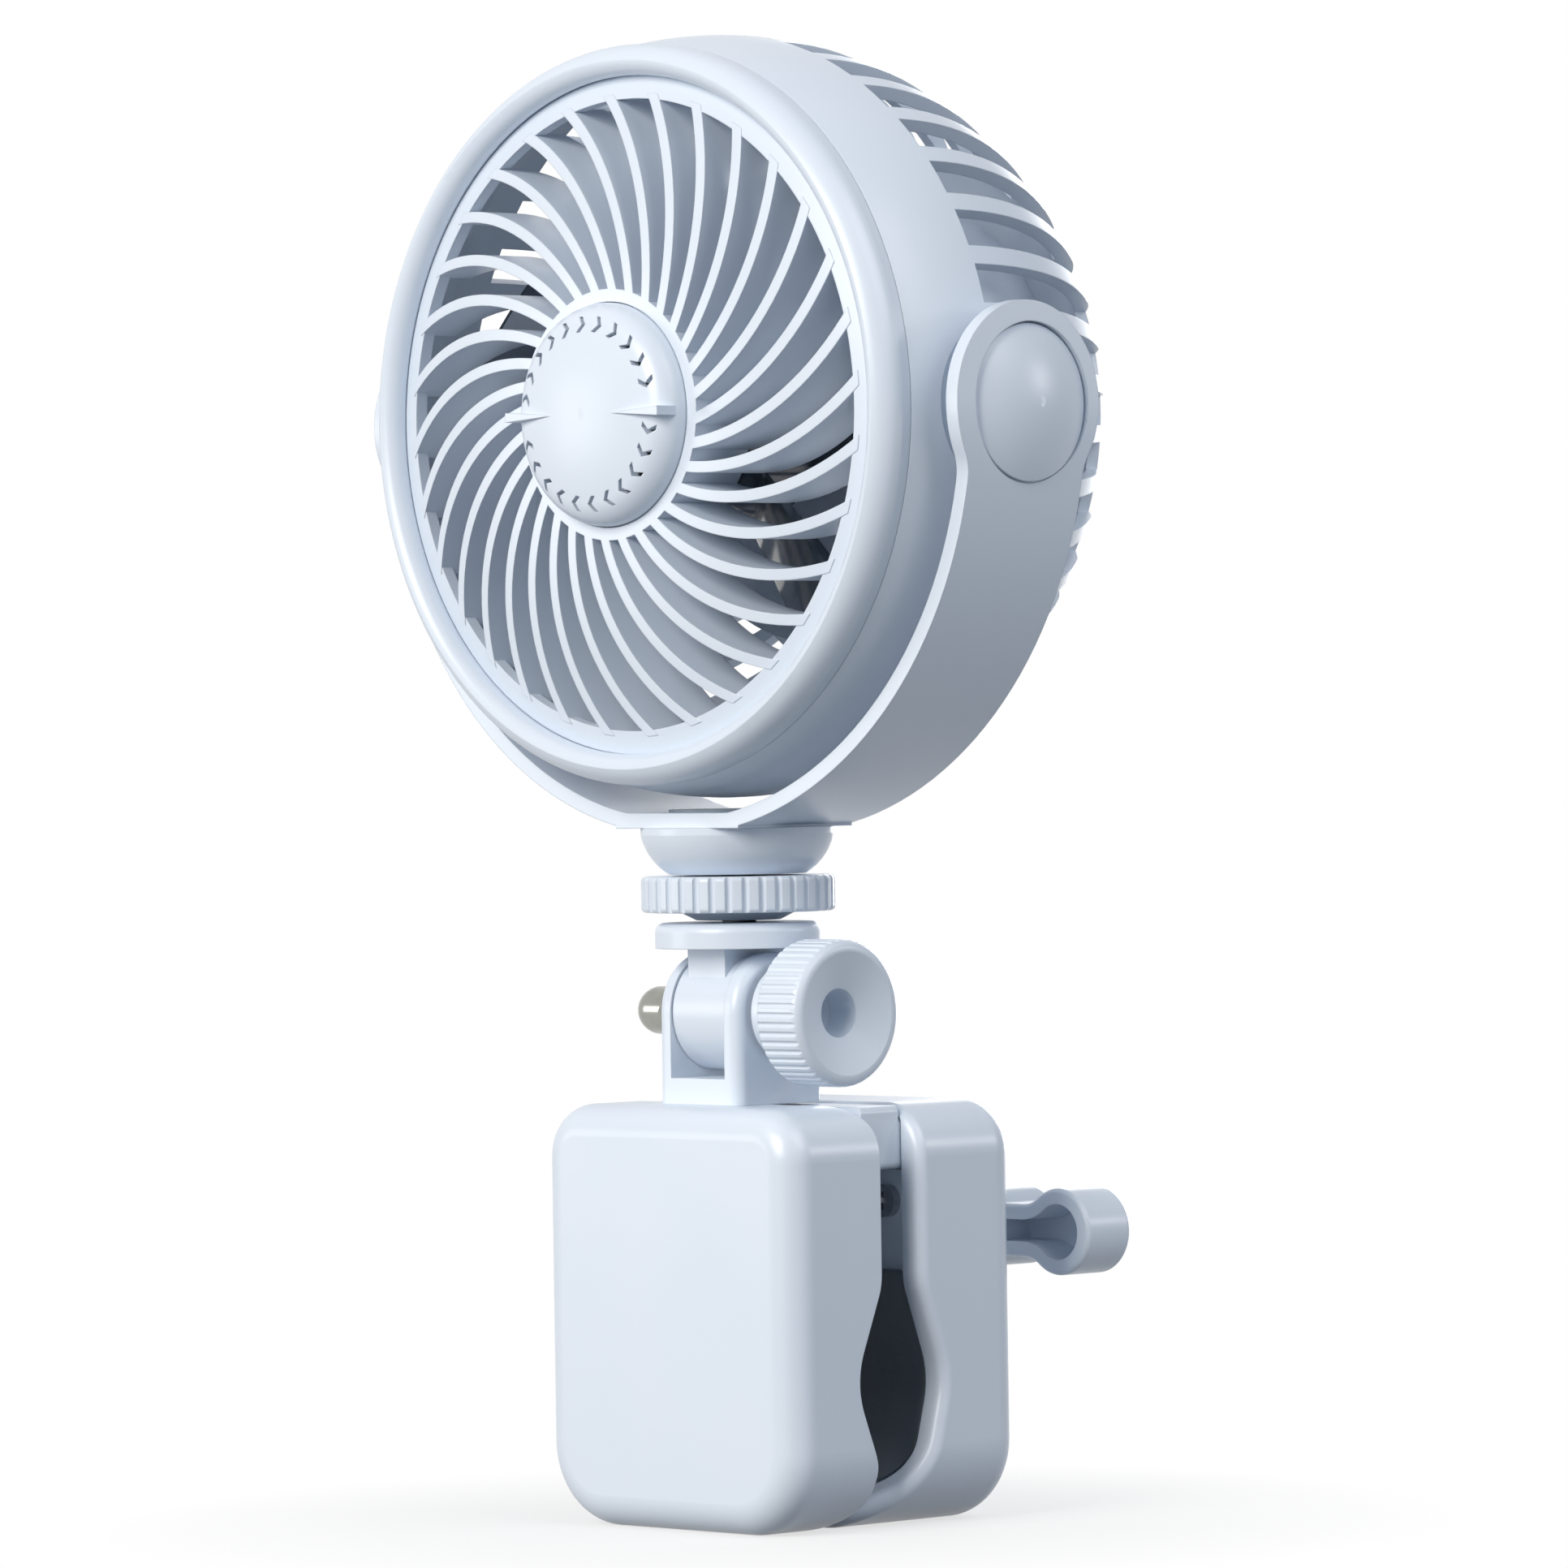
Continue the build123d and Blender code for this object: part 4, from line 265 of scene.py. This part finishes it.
# Smoky polycarbonate: clear and dark, polished by the mould, with faint flow streaks
def smoky_polycarbonate(name, tones):
    made, tree = new_material(name)
    place = add_node(tree, "TexCoord").outputs["Object"]
    flow = add_node(tree, "TexNoise", {"Scale": per_metre(9), "Detail": 2.0}, {"Vector": place})
    streak = flow.outputs["Fac"]
    clear = {"IOR": 1.58, "Transmission Weight": 0.75}
    coat(tree, tones, streak, (0.05, 0.14), streak, clear)
    return made


dress(smoky_polycarbonate("smoky_polycarbonate", ("77818E", "68727F")), "impeller")


def new_piece(name, mesh, made, body, slot, *replaced):
    """Puts a mesh in the scene as a piece that rides on a body in place of CAD nodes."""
    piece = bpy.data.objects.new(name, mesh)
    bpy.context.collection.objects.link(piece)
    mesh.materials.clear()
    mesh.materials.append(made)
    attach(piece, body)
    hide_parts(*replaced)
    return piece


def moulded_pad(name, node, body):
    """Jaw pad with its edges rounded as the mould leaves them."""
    weld = 0.001 * MM
    edge_round = 0.45 * MM
    flat_angle = math.radians(0.5)
    rim_angle = math.radians(40)
    mesh = nodes[node].data.copy()
    shape = bmesh.new()
    shape.from_mesh(mesh)
    bmesh.ops.remove_doubles(shape, verts=shape.verts, dist=weld)
    bmesh.ops.dissolve_limit(shape, angle_limit=flat_angle, verts=shape.verts, edges=shape.edges)
    rims = [edge for edge in shape.edges if edge.calc_face_angle(0.0) > rim_angle]
    bmesh.ops.bevel(
        shape,
        geom=rims,
        offset=edge_round,
        offset_type="OFFSET",
        segments=3,
        profile=0.5,
        affect="EDGES",
    )
    for face in shape.faces:
        face.smooth = True
    shape.to_mesh(mesh)
    shape.free()
    piece = new_piece(name, mesh, pad_rubber, body, "charcoal_rubber", node)
    smooth = piece.modifiers.new("flat_faces_stay_flat", "WEIGHTED_NORMAL")
    smooth.keep_sharp = True


moulded_pad("front_pad_moulding", "front_jaw_pad", "clamp_body")
moulded_pad("rear_pad_moulding", "rear_jaw_pad", "rear_jaw")


def thread_height(turns, flat_share):
    """Trapezoid thread: 0 on the root flat and 1 on the crest flat, by the share of a pitch."""
    share = abs((turns % 1.0) * 2.0 - 1.0)
    flank = 1.0 - 2.0 * flat_share
    return min(1.0, max(0.0, (share - flat_share) / flank))


def threaded_mesh(name, stations, starts, pitch, flat_share, place):
    """Turned rod: each station is (distance along, radius, thread depth), joined ring by ring."""
    sides = 48
    sharp_angle = math.radians(50)
    shape = bmesh.new()
    rings = []
    for along, radius, depth in stations:
        ring = []
        for step in range(sides):
            turn = step / sides
            sunk = depth * (1.0 - thread_height(along / pitch - turn * starts, flat_share))
            angle = 2.0 * math.pi * turn
            reach = radius - sunk
            point = Vector((reach * math.cos(angle), reach * math.sin(angle), along))
            ring.append(shape.verts.new(place @ (point * MM)))
        rings.append(ring)
    for low, high in zip(rings, rings[1:]):
        for step in range(sides):
            after = (step + 1) % sides
            shape.faces.new((low[step], low[after], high[after], high[step]))
    shape.faces.new(reversed(rings[0]))
    shape.faces.new(rings[-1])
    for face in shape.faces:
        face.smooth = len(face.verts) == 4
    bmesh.ops.recalc_face_normals(shape, faces=shape.faces)
    mesh = bpy.data.meshes.new(name)
    shape.to_mesh(mesh)
    shape.free()
    mesh.set_sharp_from_angle(angle=sharp_angle)
    return mesh


def thread_run(start, end, radius, depth, row):
    """Stations of a threaded length, its depth running out over a short way at each end."""
    run_out = 2.0
    count = int((end - start) / row)
    places = [start + row * step for step in range(1, count)]
    return [
        (at, radius, depth * min(1.0, (at - start) / run_out, (end - at) / run_out))
        for at in places
    ]


# Clamp screw: two-start trapezoid thread of 4 mm lead, a thrust collar in front and a bored rear
# end. Distances are along Y.
screw_radius, screw_tip_radius = 3.0, 2.6
screw_tip, screw_shoulder = -13.0, -12.6
collar_radius, collar_edge_radius = 4.0, 3.7
collar_front, collar_back, collar_chamfer = -7.35, -5.35, 0.3
thread_start, thread_end = collar_back + 0.5, 47.6
screw_rear, bore_end, bore_radius = 54.1, 38.1, 1.56
screw_stations = [
    (screw_tip, screw_tip_radius, 0.0),
    (screw_shoulder, screw_radius, 0.0),
    (collar_front, screw_radius, 0.0),
    (collar_front, collar_edge_radius, 0.0),
    (collar_front + collar_chamfer, collar_radius, 0.0),
    (collar_back - collar_chamfer, collar_radius, 0.0),
    (collar_back, collar_edge_radius, 0.0),
    (collar_back, screw_radius, 0.0),
    *thread_run(thread_start, thread_end, screw_radius, depth=0.6, row=0.125),
    (thread_end, screw_radius, 0.0),
    (screw_rear, screw_radius, 0.0),
    (screw_rear, bore_radius, 0.0),
    (bore_end, bore_radius, 0.0),
]
along_y = Matrix.Translation((0, 0, SCREW_Z * MM)) @ Matrix.Rotation(-math.pi / 2, 4, "X")
new_piece(
    "clamp_screw_thread",
    threaded_mesh(
        "clamp_screw_thread", screw_stations, starts=2, pitch=2.0, flat_share=0.33, place=along_y
    ),
    zinc_deep, "clamp_drive", "zinc_steel", "clamp_screw",
)

# Stud of the tilt plate: quarter-inch camera thread, twenty turns to the inch
stud_radius, stud_tip_radius, stud_chamfer = 3.175, 2.575, 0.6
stud_low, stud_high = [corner[2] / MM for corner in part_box("mount_stud")]
stud_shoulder = stud_high - stud_chamfer
stud_stations = [
    (stud_low, stud_radius, 0.0),
    *thread_run(stud_low, stud_shoulder, stud_radius, depth=0.6, row=0.106),
    (stud_shoulder, stud_radius, 0.0),
    (stud_high, stud_tip_radius, 0.0),
]
along_z = Matrix.Translation((0, STAND_Y * MM, 0))
new_piece(
    "mount_stud_thread",
    threaded_mesh(
        "mount_stud_thread", stud_stations, starts=1, pitch=1.27, flat_share=0.12, place=along_z
    ),
    zinc_tall, "tilt_head", "zinc_steel", "mount_stud",
)


def seen_share(tree):
    """1 for rays of the camera, in reflections and through clear pieces, 0 for other light."""
    rays = add_node(tree, "LightPath")
    share = rays.outputs["Is Camera Ray"]
    for kind in ("Is Glossy Ray", "Is Transmission Ray"):
        links = {0: share, 1: rays.outputs[kind]}
        share = add_node(tree, "Math", {"operation": "MAXIMUM"}, links).outputs[0]
    return share


# Pale studio floor: away from the object it fades into the white background, and near it the
# floor keeps the shadow
floor_radius = 2.5
floor_mesh = bpy.data.meshes.new("studio_floor")
floor_shape = bmesh.new()
bmesh.ops.create_circle(floor_shape, cap_ends=True, radius=floor_radius, segments=96)
bmesh.ops.translate(floor_shape, verts=floor_shape.verts, vec=(0, 0, FLOOR_Z * MM))
floor_shape.to_mesh(floor_mesh)
floor_shape.free()
floor = bpy.data.objects.new("studio_floor", floor_mesh)
bpy.context.collection.objects.link(floor)

paper, tree = new_material("pale_paper_floor")
seen = seen_share(tree)
place = add_node(tree, "TexCoord").outputs["Object"]
distance = add_node(tree, "VectorMath", {"operation": "LENGTH"}, {0: place})
fade = add_node(
    tree,
    "MapRange",
    {"From Min": 0.04, "From Max": 0.12, "To Min": 0.68, "To Max": 1.0},
    {"Value": distance.outputs["Value"]},
)
glow_share = add_node(
    tree, "Math", {"operation": "MULTIPLY"}, {0: seen, 1: fade.outputs["Result"]}
)
fibre = add_node(tree, "TexNoise", {"Scale": per_metre(2)}, {"Vector": place})
tone = add_node(
    tree,
    "Mix",
    {"data_type": "RGBA", 6: linear("F4F4F4"), 7: linear("F0F0F0")},
    {0: fibre.outputs["Fac"]},
)
# The floor throws little light back up, as on a raised stand
tone = add_node(
    tree, "Mix", {"data_type": "RGBA", 6: linear("7E848A")}, {0: seen, 7: tone.outputs[2]}
)
matt = add_node(tree, "BsdfDiffuse", links={"Color": tone.outputs[2]})
glow = add_node(tree, "Emission", {"Color": (1, 1, 1, 1), "Strength": 1.0})
surface = add_node(
    tree,
    "MixShader",
    links={0: glow_share.outputs[0], 1: matt.outputs["BSDF"], 2: glow.outputs["Emission"]},
)
add_node(tree, "OutputMaterial", links={"Surface": surface.outputs["Shader"]})
floor_mesh.materials.append(paper)

# White surroundings for the camera and reflections, a dim bluish room as light on the object
room_light = (0.155, 0.187, 0.240, 1)
white = (1, 1, 1, 1)
world = bpy.data.worlds.new("white_studio")
bpy.context.scene.world = world
world.use_nodes = True
tree = world.node_tree
tree.nodes.clear()
light = add_node(
    tree, "Mix", {"data_type": "RGBA", 6: room_light, 7: white}, {0: seen_share(tree)}
)
sky = add_node(tree, "Background", {"Strength": 1.0}, {"Color": light.outputs[2]})
add_node(tree, "OutputWorld", links={"Surface": sky.outputs["Background"]})


def soft_lamp(name, place, size, watts, tint=(1, 1, 1)):
    """Square soft box, in metres, aimed at the middle of the object."""
    middle = Vector((0, 0, 0.1))
    data = bpy.data.lights.new(name, "AREA")
    data.shape = "SQUARE"
    data.size = size
    data.energy = watts
    data.color = tint
    lamp = bpy.data.objects.new(name, data)
    lamp.location = place
    lamp.rotation_euler = (middle - Vector(place)).to_track_quat("-Z", "Y").to_euler()
    bpy.context.collection.objects.link(lamp)


# The front lamp is the main one and a little warm, the others fill in from the sides and behind
soft_lamp("front_soft_box", (0.17, -1.99, 1.03), size=1.17, watts=41.5, tint=(1.0, 0.955, 0.885))
soft_lamp("side_soft_box", (-1.0, -1.0, 0.12), size=0.5, watts=3.0)
soft_lamp("top_soft_box", (1.1, 0.13, 1.05), size=0.9, watts=5.6)
soft_lamp("rear_soft_box", (0.92, 0.92, 0.42), size=0.22, watts=1.6)
soft_lamp("back_soft_box", (-0.85, 1.55, 0.3), size=0.9, watts=9.0)

# Camera: a long lens, half-way round to the right of the object's front and level with it.
# Lengths are in millimetres.
azimuth = math.radians(45.25)
elevation = math.radians(0.37)
roll = math.radians(-0.85)
camera_distance = 1485.0
focal_pixels = 10913.0
image_pixels = 1932
aim_right_of_fan = 25.87
aim_below_fan = 61.85
back = Vector((
    math.sin(azimuth) * math.cos(elevation),
    -math.cos(azimuth) * math.cos(elevation),
    math.sin(elevation),
))
level_right = Vector((math.cos(azimuth), math.sin(azimuth), 0.0))
level_up = back.cross(level_right)
right = math.cos(roll) * level_right + math.sin(roll) * level_up
up = math.cos(roll) * level_up - math.sin(roll) * level_right
aim = OPENING_CENTRE + aim_right_of_fan * right - aim_below_fan * up
camera_data = bpy.data.cameras.new("camera")
camera_data.sensor_width = 36.0
camera_data.lens = camera_data.sensor_width * focal_pixels / image_pixels
camera_data.clip_end = 20.0
camera = bpy.data.objects.new("camera", camera_data)
turn = Matrix((right, up, back)).transposed().to_4x4()
camera.matrix_world = Matrix.Translation((aim + camera_distance * back) * MM) @ turn
bpy.context.collection.objects.link(camera)
bpy.context.scene.camera = camera
bpy.context.scene.view_settings.view_transform = "Standard"
